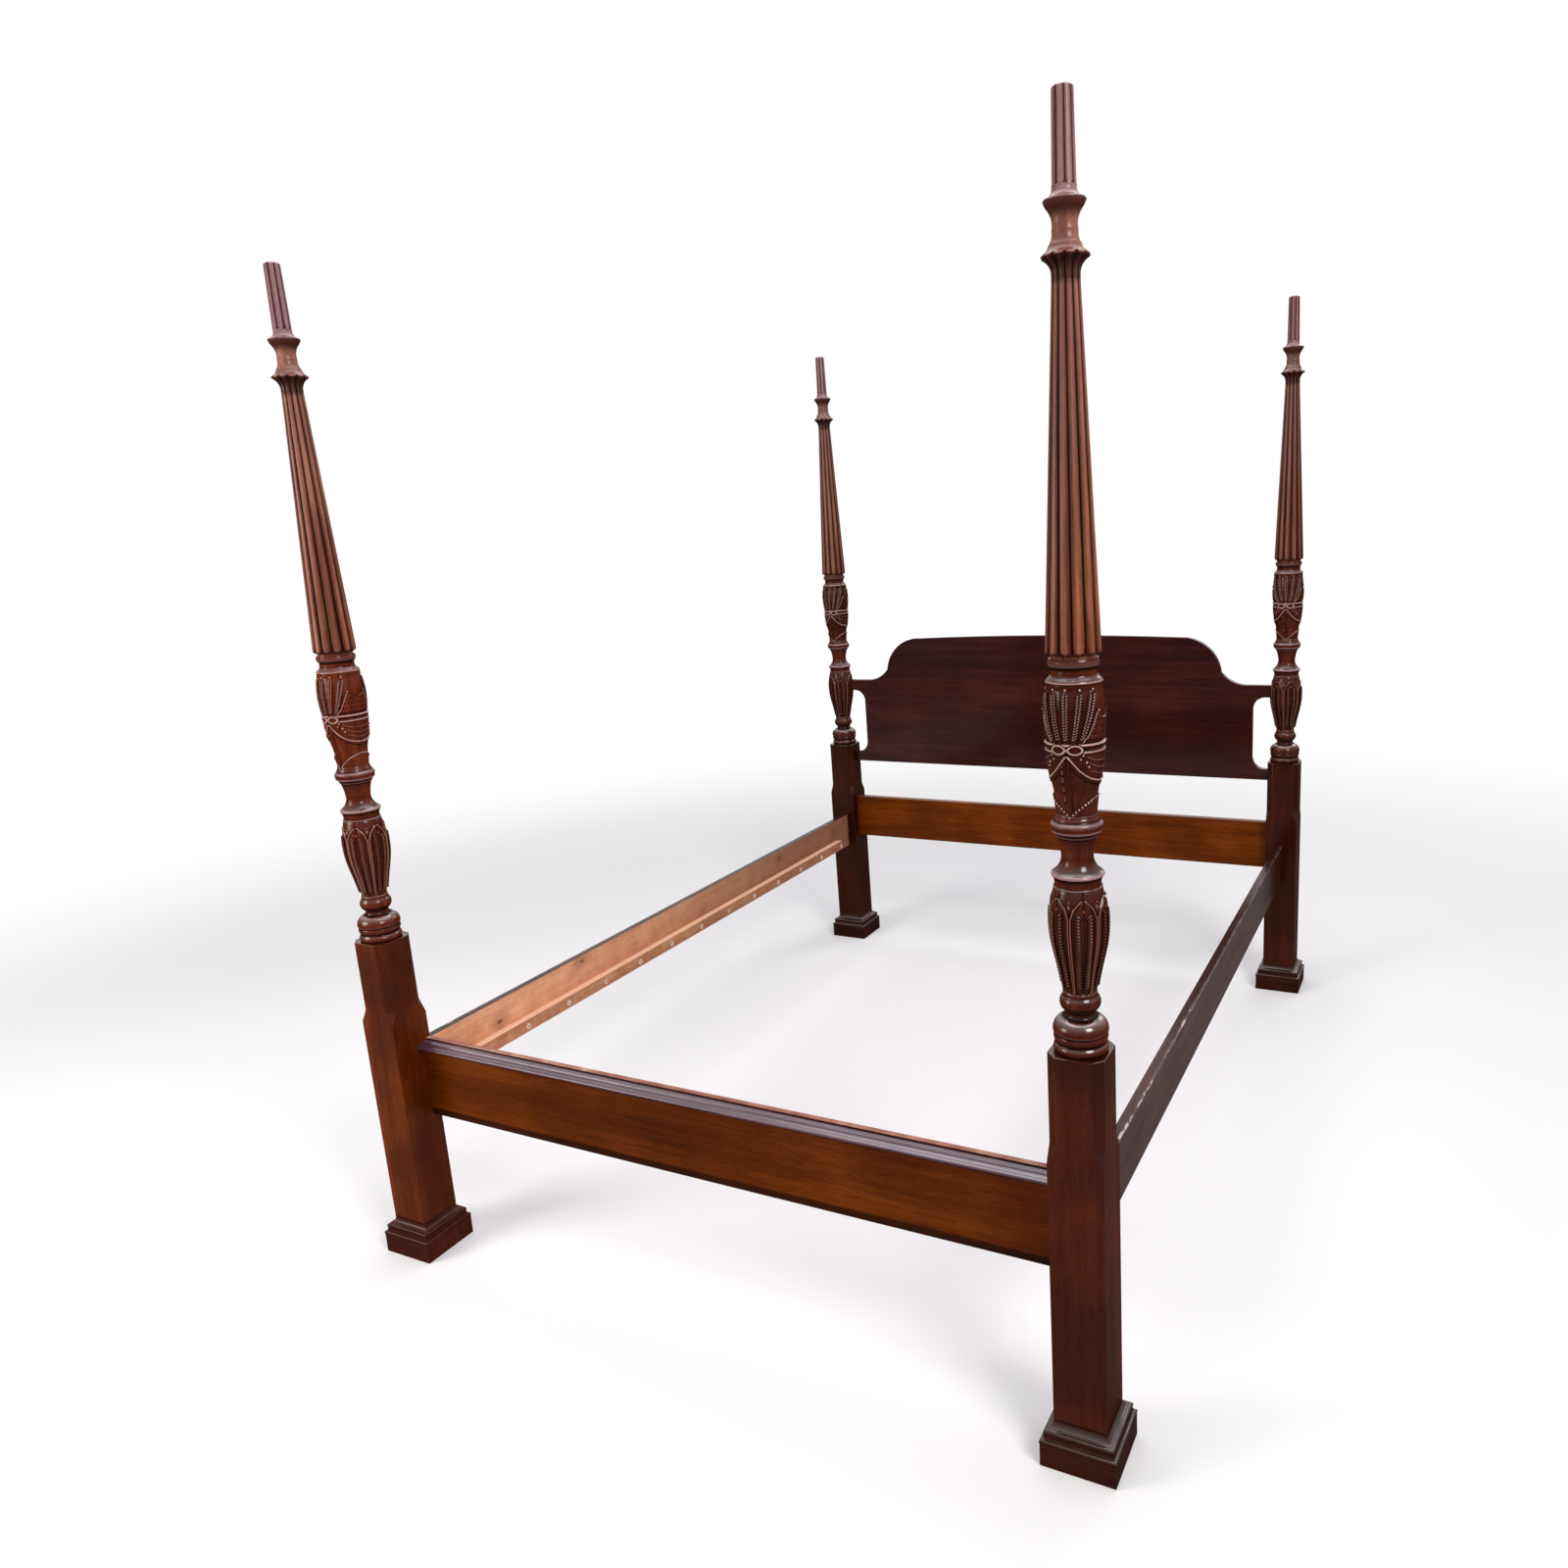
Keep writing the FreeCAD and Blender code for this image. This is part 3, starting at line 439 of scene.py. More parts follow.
bareGrain = {
    "figure": (16, 4, {"Distortion": 0.5}), "streaks": (120, 4), "fibres": (520, 2), "clouds": (4.5, 4),
    "stains": (21, 4, {"Roughness": 0.6}), "shares": (0.22, 0.18, 0.10, 0.20, 0.30),
    "farShadeTone": tone(106, 66, 52), "spotRise": (0.005, 0.009), "spotRagged": 0.006, "spotShare": 0.8,
    "paintedLightRise": (0.2, 0.8), "paintedLightShare": 0.8, "bump": {"Strength": 0.22, "Distance": 0.0006},
    "roughness": 0.62, "streakRoughness": 0.3, "specular": 0.08,
}
knotLook = {"size": 0.011, "tone": tone(96, 50, 30), "squash": 0.55, "ragged": 0.010,
            "heart": (0.35, 0.75, 0.8), "halo": (0.8, 2.4, 0.35)}


def bareWood(name, look):
    material, graph, place = newMaterial(name)
    x, y, z = graph.split(place)
    grain = graph.mapped(place, grainStretch[look["grain"]], look["shift"])
    figure, streaks, fibres = graph.noises(grain, bareGrain, "figure", "streaks", "fibres")
    clouds, stains = graph.noises(place, bareGrain, "clouds", "stains")
    mixed, *others = (kind * share for kind, share in zip((figure, streaks, fibres, clouds, stains),
                                                          bareGrain["shares"]))
    for part in others:
        mixed = mixed + part
    colour = graph.node("ShaderNodeValToRGB", {"stops": look["stops"]}, {"Fac": mixed})
    # Painted shade: the bare wood darkens towards the head, where less light reaches it
    if "farShade" in look:  # darker towards the head
        start, end, share = look["farShade"]
        colour = graph.blend(graph.rise(y, start, end) * share, colour, bareGrain["farShadeTone"])
    if "spots" in look:  # pale wood round the screws
        spots, corner = look["spots"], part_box("ledger_left")[0]
        along = (y - (corner.y + spots["first"])) / spots["pitch"]
        along = (graph.maths("FRACT", along + 0.5) - 0.5) * spots["pitch"]
        above = z - (corner.z + spots["rise"])
        apart = graph.maths("SQRT", along * along + above * above) + (stains - 0.5) * bareGrain["spotRagged"]
        spot = (1 - graph.rise(apart, *bareGrain["spotRise"])) * bareGrain["spotShare"]
        colour = graph.blend(spot, colour, spots["tone"])
    # Painted light: faces that look up are paler
    if "paintedLightTone" in look:
        top = graph.rise(graph.stored("sky"), *bareGrain["paintedLightRise"]) * bareGrain["paintedLightShare"]
        colour = graph.blend(top, colour, look["paintedLightTone"])
    size, squash = knotLook["size"], knotLook["squash"]
    for along, height in look["knots"]:
        spot = graph.mapped(place, (0, squash, 1), (0, -(along + railStart) * squash, -height))
        apart = graph.node("ShaderNodeVectorMath", {"operation": "LENGTH"}, {0: spot}, "Value")
        apart = apart + (clouds - 0.5) * knotLook["ragged"]
        heart, halo = ((1 - graph.rise(apart, size * near, size * far)) * share
                       for near, far, share in (knotLook["heart"], knotLook["halo"]))
        colour = graph.blend(graph.maths("MAXIMUM", heart, halo), colour, knotLook["tone"])
    finishMaterial(graph, colour, fibres + streaks, bareGrain["bump"], {
        "Roughness": bareGrain["roughness"] + (streaks - 0.5) * bareGrain["streakRoughness"],
        "Specular IOR Level": bareGrain["specular"]})
    return material


steelLook = {
    "stops": [(0.35, tone(120, 116, 108)), (0.65, tone(176, 174, 168))], "clouds": (60, 4),
    "scratches": (900, 2), "bump": {"Strength": 0.1, "Distance": 0.0002},
    "roughness": 0.32, "cloudRoughness": 0.3,
}


def plainSteel(name, look):
    material, graph, place = newMaterial(name)
    clouds, scratches = graph.noises(place, look, "clouds", "scratches")
    colour = graph.node("ShaderNodeValToRGB", {"stops": look["stops"]}, {"Fac": clouds})
    finishMaterial(graph, colour, scratches, look["bump"], {
        "Roughness": look["roughness"] + (clouds - 0.5) * look["cloudRoughness"], "Metallic": 1.0})
    return material


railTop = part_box("side_rail_right")[1]
woodLooks["side_wood"]["wornEdge"] = (railTop.x, railTop.z)
# The foot rail's finish gets painted shade at its lower edge and a painted shadow under its moulding
woodLooks["foot_rail_wood"] = {**woodLooks["rail_wood"], "seed": 9.9,
                               "paintedShadeLines": (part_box("foot_rail")[0].z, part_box("foot_rail_moulding")[0].z)}
finishes = {name: mahogany(name, look) for name, look in woodLooks.items()}
finishes.update({name: bareWood(name, look) for name, look in bareLooks.items()})
finishes["steel"] = plainSteel("steel", steelLook)
print("finishes made:", len(finishes))


# Meshes. The "sky" attribute is how far a surface faces up, where polish shows and painted light pales the
# ledger, or down, where painted shade darkens it.
smoothAngle = radians(50)


def store(mesh, name, values, kind="FLOAT", domain="POINT"):
    field = mesh.attributes.new(name, kind, domain)
    key = "vector" if kind == "FLOAT_VECTOR" else "value"
    field.data.foreach_set(key, np.array(values, dtype=np.float32).ravel())


def newPiece(name, mesh, body, slot, *replaced):
    facing = np.empty(len(mesh.loops) * 3, dtype=np.float32)
    mesh.corner_normals.foreach_get("vector", facing)
    store(mesh, "sky", facing[2::3], domain="CORNER")
    piece = bpy.data.objects.new(name, mesh)
    scene.collection.objects.link(piece)
    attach(piece, body)
    if replaced:
        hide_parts(*replaced)


def levels(*stretches):
    rows = [np.arange(low, high - step / 2, step) for low, high, step in stretches]
    return np.append(np.concatenate(rows), stretches[-1][1])


def turnProfile(node, centre, heights, angle=0.0, reach=0.2):
    mesh = cadNodes[node].data
    tree = BVHTree.FromPolygons([vertex.co for vertex in mesh.vertices],
                                [tuple(face.vertices) for face in mesh.polygons])
    if centre[0] < 0:
        angle = pi - angle  # the side away from the bed, clear of mortises
    outward = Vector((cos(angle), sin(angle), 0))
    radii = []
    for height in heights:
        start = Vector((*centre, height)) + outward * reach
        hit = tree.ray_cast(start, -outward)[0]
        radii.append(0 if hit is None else reach - (start - hit).length)
    return np.array(radii)


def smoothed(values, weights):
    weights = np.array(weights) / np.sum(weights)
    return np.convolve(np.pad(values, len(weights) // 2, mode="edge"), weights, mode="valid")


ringShade = {"reach": 0.004, "deepest": 0.95, "crestFull": 1.9, "crestFrom": 0.12, "mostCrest": 0.45}


# A ring's hollows get painted shade and its crests a painted highlight, through the "depth" attribute
def ringDepth(heights, radii):
    look = ringShade
    reach = max(int(look["reach"] / (heights[1] - heights[0])), 1)
    hollow = (smoothed(radii, np.ones(2 * reach + 1)) - radii) * 1000
    crest = np.clip(-hollow / look["crestFull"] - look["crestFrom"], 0, look["mostCrest"])
    return np.clip(hollow, 0, look["deepest"]) - crest


def turnedMesh(name, centre, heights, radii, columns, depth=None):
    angles = np.arange(columns) / columns * tau
    rows = len(heights)
    spread = np.broadcast_to(radii if np.ndim(radii) == 2 else radii[:, None], (rows, columns))
    places = np.empty((rows * columns + 2, 3))
    places[:-2, 0] = (centre[0] + spread * np.cos(angles)).ravel()
    places[:-2, 1] = (centre[1] + spread * np.sin(angles)).ravel()
    places[:-2, 2] = np.repeat(heights, columns)
    places[-2] = (*centre, heights[0])
    places[-1] = (*centre, heights[-1])
    first = np.arange(rows * columns).reshape(rows, columns)
    beside = np.roll(first, -1, axis=1)
    sides = np.stack([first[:-1], beside[:-1], beside[1:], first[1:]], axis=-1)
    faces = sides.reshape(-1, 4).tolist()
    low, high = rows * columns, rows * columns + 1
    faces += [(low, b, a) for a, b in zip(first[0].tolist(), beside[0].tolist())]
    faces += [(high, a, b) for a, b in zip(first[-1].tolist(), beside[-1].tolist())]
    mesh = bpy.data.meshes.new(name)
    mesh.from_pydata(places.tolist(), [], faces)
    if depth is not None:
        store(mesh, "depth", np.append(depth, (0, 0)))
    mesh.shade_smooth()
    mesh.set_sharp_from_angle(angle=smoothAngle)
    return mesh


easing = {"merge": 1e-5, "flat": radians(0.5), "corner": radians(25), "sharp": radians(38),
          "smallFace": 0.0006, "rimFacing": 0.99, "facing": 0.9}


def easedMesh(node, pick, width, top=None):
    mesh = cadNodes[node].data.copy()
    if "custom_normal" in mesh.attributes:
        mesh.attributes.remove(mesh.attributes["custom_normal"])
    work = bmesh.new()
    work.from_mesh(mesh)
    bmesh.ops.remove_doubles(work, verts=work.verts, dist=easing["merge"])
    bmesh.ops.dissolve_limit(work, angle_limit=easing["flat"], verts=work.verts, edges=work.edges)
    if top is not None:
        everything = work.verts[:] + work.edges[:] + work.faces[:]
        cut = bmesh.ops.bisect_plane(work, geom=everything, plane_co=(0, 0, top), plane_no=(0, 0, 1),
                                     clear_outer=True)
        rim = [item for item in cut["geom_cut"] if isinstance(item, bmesh.types.BMEdge)]
        bmesh.ops.holes_fill(work, edges=rim)
    edges = [edge for edge in work.edges
             if len(edge.link_faces) == 2 and edge.calc_face_angle() > easing["corner"] and pick(edge)]
    bmesh.ops.bevel(work, geom=edges, offset=width, segments=2, profile=0.5, affect="EDGES")
    work.to_mesh(mesh)
    work.free()
    mesh.set_sharp_from_angle(angle=easing["sharp"])
    for face in mesh.polygons:
        face.use_smooth = face.area < easing["smallFace"]
    return mesh


def dress(mesh, *names):
    mesh.materials.clear()
    for name in names:
        mesh.materials.append(finishes[name])
    mesh.polygons.foreach_set("material_index", np.zeros(len(mesh.polygons), dtype=np.int32))
    return mesh


# Trees of Geometry Nodes
def newTree(name, inputs):
    tree = bpy.data.node_groups.new(name, "GeometryNodeTree")
    tree.interface.new_socket("Geometry", in_out="INPUT", socket_type="NodeSocketGeometry")
    for label, kind in inputs:
        tree.interface.new_socket(label, in_out="INPUT", socket_type="NodeSocket" + kind)
    tree.interface.new_socket("Geometry", in_out="OUTPUT", socket_type="NodeSocketGeometry")
    graph = Graph(tree)
    source = graph.node("NodeGroupInput").socket.node
    fields = {socket.name: Value(graph, socket) for socket in source.outputs if socket.name}
    return tree, graph, fields


def endTree(graph, geometry, wood):
    solid = graph.node("GeometryNodeRealizeInstances", {}, {0: geometry})
    dressed = graph.node("GeometryNodeSetMaterial", {}, {"Geometry": solid, "Material": wood})
    graph.node("NodeGroupOutput", {}, {0: dressed})


def grow(mesh, tree, entries):
    stand = bpy.data.objects.new("growing", mesh)
    scene.collection.objects.link(stand)
    modifier = stand.modifiers.new("grow", "NODES")
    modifier.node_group = tree
    for item in tree.interface.items_tree:
        if item.item_type == "SOCKET" and item.in_out == "INPUT" and item.name in entries:
            modifier[item.identifier] = entries[item.name]
    grown = bpy.data.meshes.new_from_object(stand.evaluated_get(bpy.context.evaluated_depsgraph_get()))
    bpy.data.objects.remove(stand)
    return grown


# Reeds: rounds the surface between grooves, as deep as the "cut" attribute says at each height, with painted
# shade in the grooves and a painted highlight on the crests
reedShade = {"power": 2.6, "grooveShare": 1.25, "crestShare": 0.2, "cutFull": 14, "narrowest": 0.0005}


def reedTree():
    tree, graph, given = newTree("cut_reeds", [("Reeds", "Int"), ("Centre", "Vector"), ("Tip", "Float"),
                                                ("Tip Length", "Float"), ("Wood", "Material")])
    x, y, z = graph.split(graph.node("GeometryNodeInputPosition") - given["Centre"])
    turn = graph.maths("ARCTAN2", y, x) * given["Reeds"] / tau
    across = graph.maths("ABSOLUTE", graph.maths("FRACT", turn + 0.5) - 0.5) * 2
    rise = graph.node("ShaderNodeClamp", {}, {"Value": (z - given["Tip"]) / given["Tip Length"],
                                              "Min": reedShade["narrowest"], "Max": 1.0})
    width = graph.maths("SQRT", 1 - (1 - rise) ** 2)
    reach = graph.maths("MINIMUM", across / width, 1.0)
    drop = 1 - graph.maths("SQRT", graph.maths("MAXIMUM", 1 - reach * reach, 0.0))
    cut = graph.field("cut")
    scale = 1 - cut * drop
    moved = graph.node("ShaderNodeCombineXYZ", {}, {"X": x * scale, "Y": y * scale, "Z": z})
    shaped = graph.node("GeometryNodeSetPosition", {}, {
        "Geometry": given["Geometry"], "Position": moved + given["Centre"]})
    # Painted shade in the grooves and a painted highlight on the crests
    shade = reach ** reedShade["power"] * reedShade["grooveShare"] - (1 - reach) * reedShade["crestShare"]
    shade = shade * graph.maths("MINIMUM", cut * reedShade["cutFull"], 1.0)
    kept = graph.node("GeometryNodeStoreNamedAttribute", {"data_type": "FLOAT", "domain": "POINT"},
                      {"Geometry": shaped, "Name": "depth", "Value": shade})
    endTree(graph, kept, given["Wood"])
    return tree


# Seeds: a grain or a bead on each point, turned by "aim", sized by "size", with painted shade below its
# waist and a painted highlight from its waist up
seedLightRise = (0.15, 0.95)


def seedTree():
    tree, graph, given = newTree("set_seeds", [("Highlight", "Float"), ("Wood", "Material")])
    grain = graph.node("GeometryNodeMeshIcoSphere", {}, {"Radius": 1.0, "Subdivisions": 2})
    up = graph.split(graph.node("GeometryNodeInputPosition"))[2]
    # Painted shade under the waist and a painted highlight above it, stored as "depth"
    shadeAndHighlight = 1 - graph.rise(up, *seedLightRise) * (given["Highlight"] + 1)
    grain = graph.node("GeometryNodeStoreNamedAttribute", {"data_type": "FLOAT", "domain": "POINT"},
                       {"Geometry": grain, "Name": "depth", "Value": shadeAndHighlight})
    aim, size = graph.field("aim", "FLOAT_VECTOR"), graph.field("size", "FLOAT_VECTOR")
    turned = graph.node("FunctionNodeEulerToRotation", {}, {0: aim})
    placed = graph.node("GeometryNodeInstanceOnPoints", {}, {
        "Points": given["Geometry"], "Instance": grain, "Rotation": turned, "Scale": size})
    solid = graph.node("GeometryNodeRealizeInstances", {}, {0: placed})
    smooth = graph.node("GeometryNodeSetShadeSmooth", {}, {"Geometry": solid})
    endTree(graph, smooth, given["Wood"])
    return tree


reeds = reedTree()
seeds = seedTree()
print("node trees made")


# Carving, in millimetres above the cut ground. An angle a is in degrees from the motif's middle line, s is
# the same as a distance round the post, and z is the height above the floor. A form's size is its half width
# and its height.
domeRoundness = 0.75


def dome(distance, half, height):
    return height * np.clip(1 - (distance / half) ** 2, 0, 1) ** domeRoundness


def ramp(distance, length):
    return np.clip(distance / length, 0, 1)


def raised(height, *forms):
    for form in forms:
        height = np.maximum(height, form)
    return height


def lineDistance(s, z, points, degree):
    best = np.full(np.shape(s), np.inf)
    for (startAngle, startZ), (endAngle, endZ) in zip(points, points[1:]):
        startS, alongS, alongZ = startAngle * degree, (endAngle - startAngle) * degree, endZ - startZ
        share = ((s - startS) * alongS + (z - startZ) * alongZ) / (alongS ** 2 + alongZ ** 2)
        share = np.clip(share, 0, 1)
        best = np.minimum(best, np.hypot(s - startS - share * alongS, z - startZ - share * alongZ))
    return best


def softened(field, reach):
    span = range(-reach, reach + 1)
    field = sum(np.roll(field, step, axis=1) for step in span) / len(span)
    tall = np.pad(field, ((reach, reach), (0, 0)), mode="edge")
    return sum(tall[reach + step:reach + step + len(field)] for step in span) / len(span)


# Upper vase: ears of rice tied with a ribbon over a swag and a pendant
upperCarving = {
    "low": 1141, "high": 1352, "columns": 320, "rows": 236, "degree": 0.785,
    "motifs": 2, "firstAngle": -90.0, "ground": 1.8, "proud": 0.6, "deepen": 1.4,
    "neck": [(1303, 0), (1336, 0.5), (1342.5, 0.8), (1343.5, 1.8)], "footTop": 1145, "footSlope": 3,
    "ears": (-2, -1, 0, 1, 2), "earSpread": 14, "earFan": 0.8, "earFoot": 1258, "earTop": 1334,
    "earStart": 1256, "earHeight": 1.2, "earFootHalf": 3.2, "innerEarHalf": 5.4, "outerEarHalf": 7.6,
    "earTip": (1.02, 0.14), "earGroove": (0.8, 0.6), "seedRows": (1263, 1330), "seedPitch": 4.2,
    "seedSize": (3.6, 1.6, 1.7), "seedLean": (0.15, 0.85), "seedStagger": 1.3, "seedOut": 0.52,
    "leastSeed": 0.45, "tipFlatness": 0.8, "tipLift": 1.5, "tipBeads": (2.6, 2.2),  # one size for each motif
    "arc": [(33, 1258), (44, 1268), (54, 1284), (60, 1296), (65, 1303)], "arcSize": (1.6, 1.7), "arcLift": 1,
    "leafFoot": 1262, "leafTop": 1292, "leafPeak": 8, "leafSlope": 25, "leafHeight": 1.1,
    "dotRows": (1269, 1279, 1289), "dotPitch": 8, "dotSize": (1.8, 1.3),
    "ribbon": (1254, 2.4, 2.2), "lowRibbon": (1243, 1.8, 1.9), "lowRibbonFrom": 26,
    "loop": (17, 1247, 10.5, 6.5), "loopRim": (2.2, 2.2), "loopScale": 7.5, "loopEdge": 7.6,
    "loopClear": 2.6, "loopFill": (1.15, 0.5, 2.6), "knot": (1247, 3.6, 4.2), "knotHeight": 2.4,
    "petals": [(33, 1239, 2.4), (28, 1233, 2.2), (40, 1228, 2.8), (45, 1221, 2.6)], "petalHeight": 2.4,
    "drape": [(6, 1222), (25, 1206), (40, 1198), (65, 1192), (90, 1188)], "drapeTop": 1246, "hem": 1.2,
    "drapeFrom": (4, 3), "clothHeight": 1.0, "creaseHeight": 0.25, "creaseFrom": (15, 10),
    "creasePitch": 1.35, "creaseTurn": 0.003,
    "folds": [[(42, 1236), (60, 1230), (90, 1228)], [(47, 1226), (68, 1219), (90, 1217)],
              [(52, 1214), (70, 1209), (90, 1207)]], "foldSize": (2.2, 1.5), "swagSize": (1.6, 2.4),
    "swag": [(2, 1237), (14, 1226), (25, 1216), (38, 1208), (50, 1203), (62, 1200), (75, 1197.5),
             (90, 1197)],
    "tail": [(1150, 4), (1236, 2)], "tailHalf": 2.2, "tailHeight": 1.1, "tailSquareness": 8,
    "husks": (1222, 1211, 1199, 1184, 1169), "huskAngle": -12, "huskHalf": (3.3, 5.6), "huskHeight": 1.6,
    "huskGroove": (0.5, 0.4), "garlandLow": 1142, "garlandRise": 30, "garlandStep": 180 / 22,
    "garlandEdge": (1, 1.5), "garlandBeads": (2.2, 2.9), "largeBeads": (38, 62),
}


def earShare(z):
    return ramp(z - upperCarving["earFoot"], upperCarving["earTop"] - upperCarving["earFoot"])


def earCentre(ear, share):
    return upperCarving["earSpread"] * ear * (1 + share ** upperCarving["earFan"])


def earHalf(ear, share):
    look = upperCarving
    tip, length = look["earTip"]
    widest = look["outerEarHalf"] if abs(ear) == 2 else look["innerEarHalf"]
    half = look["earFootHalf"] + (widest - look["earFootHalf"]) * share
    return half * np.sqrt(np.clip((tip - share) / length, 0.0001, 1))


def upperRelief(a, z):
    look = upperCarving
    degree, side = look["degree"], np.abs(a)
    s = side * degree
    share = earShare(z)
    height = np.interp(z, *zip(*look["neck"])) + 0 * s
    for ear in look["ears"]:
        apart = (a - earCentre(ear, share)) * degree
        body = dome(apart, earHalf(ear, share), look["earHeight"]) - dome(apart, *look["earGroove"])
        height = raised(height, np.where((z > look["earStart"]) & (z < look["earTop"]), body, 0))

    # Leaves outside the ears' arcs, pricked with dots
    angles, heights = zip(*look["arc"])
    top = look["leafTop"] + ramp(90 - side, look["leafSlope"]) ** 2 * look["leafPeak"]
    leaf = (side > np.interp(z, heights, angles) + 1) & (z > look["leafFoot"]) & (z < top)
    panel = np.where(leaf, look["leafHeight"], 0)
    pitch = look["dotPitch"]
    for index, row in enumerate(look["dotRows"]):
        across = ((90 - side) * degree + pitch * (0.5 + index % 2 / 2)) % pitch
        panel = panel - dome(np.hypot(across - pitch / 2, z - row), *look["dotSize"])
    height = raised(height, np.where(leaf, panel, 0),
                    dome(lineDistance(s, z, look["arc"], degree), *look["arcSize"]))

    # Draped cloth, ribbons, bow and swag
    angles, heights = zip(*look["drape"])
    above = z - np.interp(side, angles, heights)
    (start, slope), (creaseStart, creaseSlope) = look["drapeFrom"], look["creaseFrom"]
    cloth = ramp(above, look["hem"]) * ramp(side - start, slope) * (z < look["drapeTop"])
    creases = np.sin(s * look["creasePitch"] + look["creaseTurn"] * above * side)
    creases = creases * ramp(side - creaseStart, creaseSlope)
    height = raised(height, cloth * (look["clothHeight"] + look["creaseHeight"] * creases))
    for fold in look["folds"]:
        height = raised(height, dome(lineDistance(s, z, fold, degree), *look["foldSize"]))
    level, *size = look["ribbon"]
    lowLevel, *lowSize = look["lowRibbon"]
    height = raised(height, dome(z - level, *size),
                    np.where(side > look["lowRibbonFrom"], dome(z - lowLevel, *lowSize), 0))
    angle, level, wide, tall = look["loop"]
    full, most, steepness = look["loopFill"]
    away = np.hypot((side - angle) * degree / wide, (z - level) / tall)
    ring = np.abs(away - 1) * look["loopScale"]
    inside = np.clip(full - away, 0, most) * steepness
    loop = raised(dome(ring, *look["loopRim"]), inside, height * (ring > look["loopClear"]))
    height = np.where(ring < look["loopEdge"], loop, height)
    level, wide, tall = look["knot"]
    height = raised(height, dome(np.hypot(s / wide, (z - level) / tall), 1, look["knotHeight"]))
    for angle, level, size in look["petals"]:
        height = raised(height, dome(np.hypot(s - angle * degree, z - level), size, look["petalHeight"]))
    height = raised(height, dome(lineDistance(s, z, look["swag"], degree), *look["swagSize"]))

    # Ribbon's tail, husks and the ground under the garland
    heights, angles = zip(*look["tail"])
    tail = (a - np.interp(z, heights, angles)) * degree / look["tailHalf"]
    along = (z > heights[0]) & (z < heights[1])
    tail = look["tailHeight"] * np.clip(1 - tail ** look["tailSquareness"], 0, 1)
    height = raised(height, np.where(along, tail, 0))
    wide, tall = look["huskHalf"]
    for level in look["husks"]:
        apart = (a - look["huskAngle"]) * degree
        bell = dome(np.hypot(apart / wide, (z - level) / tall), 1, look["huskHeight"])
        height = raised(height, bell - dome(apart, *look["huskGroove"]))
    garland = look["garlandLow"] + look["garlandRise"] * np.sin(np.radians(side))
    below, slope = look["garlandEdge"]
    return raised(height, ramp(garland - below - z, slope),
                  ramp(look["footTop"] - z, look["footSlope"]) * look["ground"])


# Lower vase: six tall leaves with double outlines
lowerCarving = {
    "low": 852, "high": 1031, "columns": 288, "rows": 170, "degree": 0.733, "radius": 42, "slopeStep": 1.5,
    "motifs": 6, "firstAngle": -62.0, "ground": 1.8, "proud": 0.4, "deepen": 1.4,
    "outline": [(855, 27.5), (985, 27.5), (1000, 21), (1008, 12), (1013, 5), (1015, 0)], "rim": (1.8, 2.1),
    "innerRim": (1.3, 1.3), "inset": 3.7, "innerFrom": (5, 1.2),
    "lobeInset": 5.2, "leastLobe": 0.3, "lobeOut": 0.7, "lobeFrom": 6.5, "lobeHeight": 1.1,
    "plain": (1.6, 1.2), "plainFrom": (992, 6), "plainHeight": 0.8, "drop": (1003, 3.2, 5.0),
    "dropHeight": 1.9, "seam": (0.9, 0.7), "seamTop": 985, "collar": (1028, 1.5, 2.0),
    "footTop": 858, "footSlope": 3,
    "seedPitch": 5.2, "seedSize": (4.8, 2.3, 2.1), "seedRows": (870, 990), "seedLean": 0.95, "fullLobe": 4.5,
    "mostSeed": 1.3, "beadRadius": 2.3, "beadLevels": (998, 1011),
}


def leafHalf(z):
    heights, halves = zip(*lowerCarving["outline"])
    return np.interp(z, heights, halves) * lowerCarving["degree"]


def lobeHalf(z):
    return np.maximum((leafHalf(z) - lowerCarving["lobeInset"]) / 2, lowerCarving["leastLobe"])


def lowerRelief(a, z):
    look = lowerCarving
    s = np.abs(a) * look["degree"]
    half, lobe = leafHalf(z), lobeHalf(z)
    step = look["slopeStep"]
    slope = 1 / np.sqrt(1 + ((leafHalf(z + step) - leafHalf(z - step)) / (2 * step)) ** 2)
    apart = (s - half) * slope
    inside = (z < look["outline"][-1][0]) & (z > look["outline"][0][0])
    height = np.where(inside, dome(apart, *look["rim"]), 0)
    leastHalf, clear = look["innerFrom"]
    second = inside & (half > leastHalf) & (s > clear)
    height = raised(height, np.where(second, dome(apart + look["inset"], *look["innerRim"]), 0))
    body = dome(s - lobe - look["lobeOut"], lobe, look["lobeHeight"])
    height = raised(height, np.where(inside & (half > look["lobeFrom"]), body, 0))
    gap = pi * look["radius"] / look["motifs"] - s  # distance from the line between two leaves
    (edge, width), (level, rise) = look["plain"], look["plainFrom"]
    height = raised(height, ramp(apart - edge, width) * ramp(z - level, rise) * look["plainHeight"])
    level, wide, tall = look["drop"]
    height = raised(height, dome(np.hypot(gap / wide, (z - level) / tall), 1, look["dropHeight"]),
                    np.where(z < look["seamTop"], dome(gap, *look["seam"]), 0))
    level, *size = look["collar"]
    return raised(height, dome(z - level, *size),
                  ramp(look["footTop"] - z, look["footSlope"]) * look["ground"])


def motifAngle(look, angles):
    turn = tau / look["motifs"]
    return np.degrees((angles - radians(look["firstAngle"]) + turn / 2) % turn - turn / 2)


carvingShade = {"crestRise": (1.3, 0.5), "crestFull": 0.6, "mostCrest": 0.85, "hollowFull": 0.7,
                "softening": (3, 2), "profileSoftening": (1, 1, 1, 1, 1), "edge": 3}


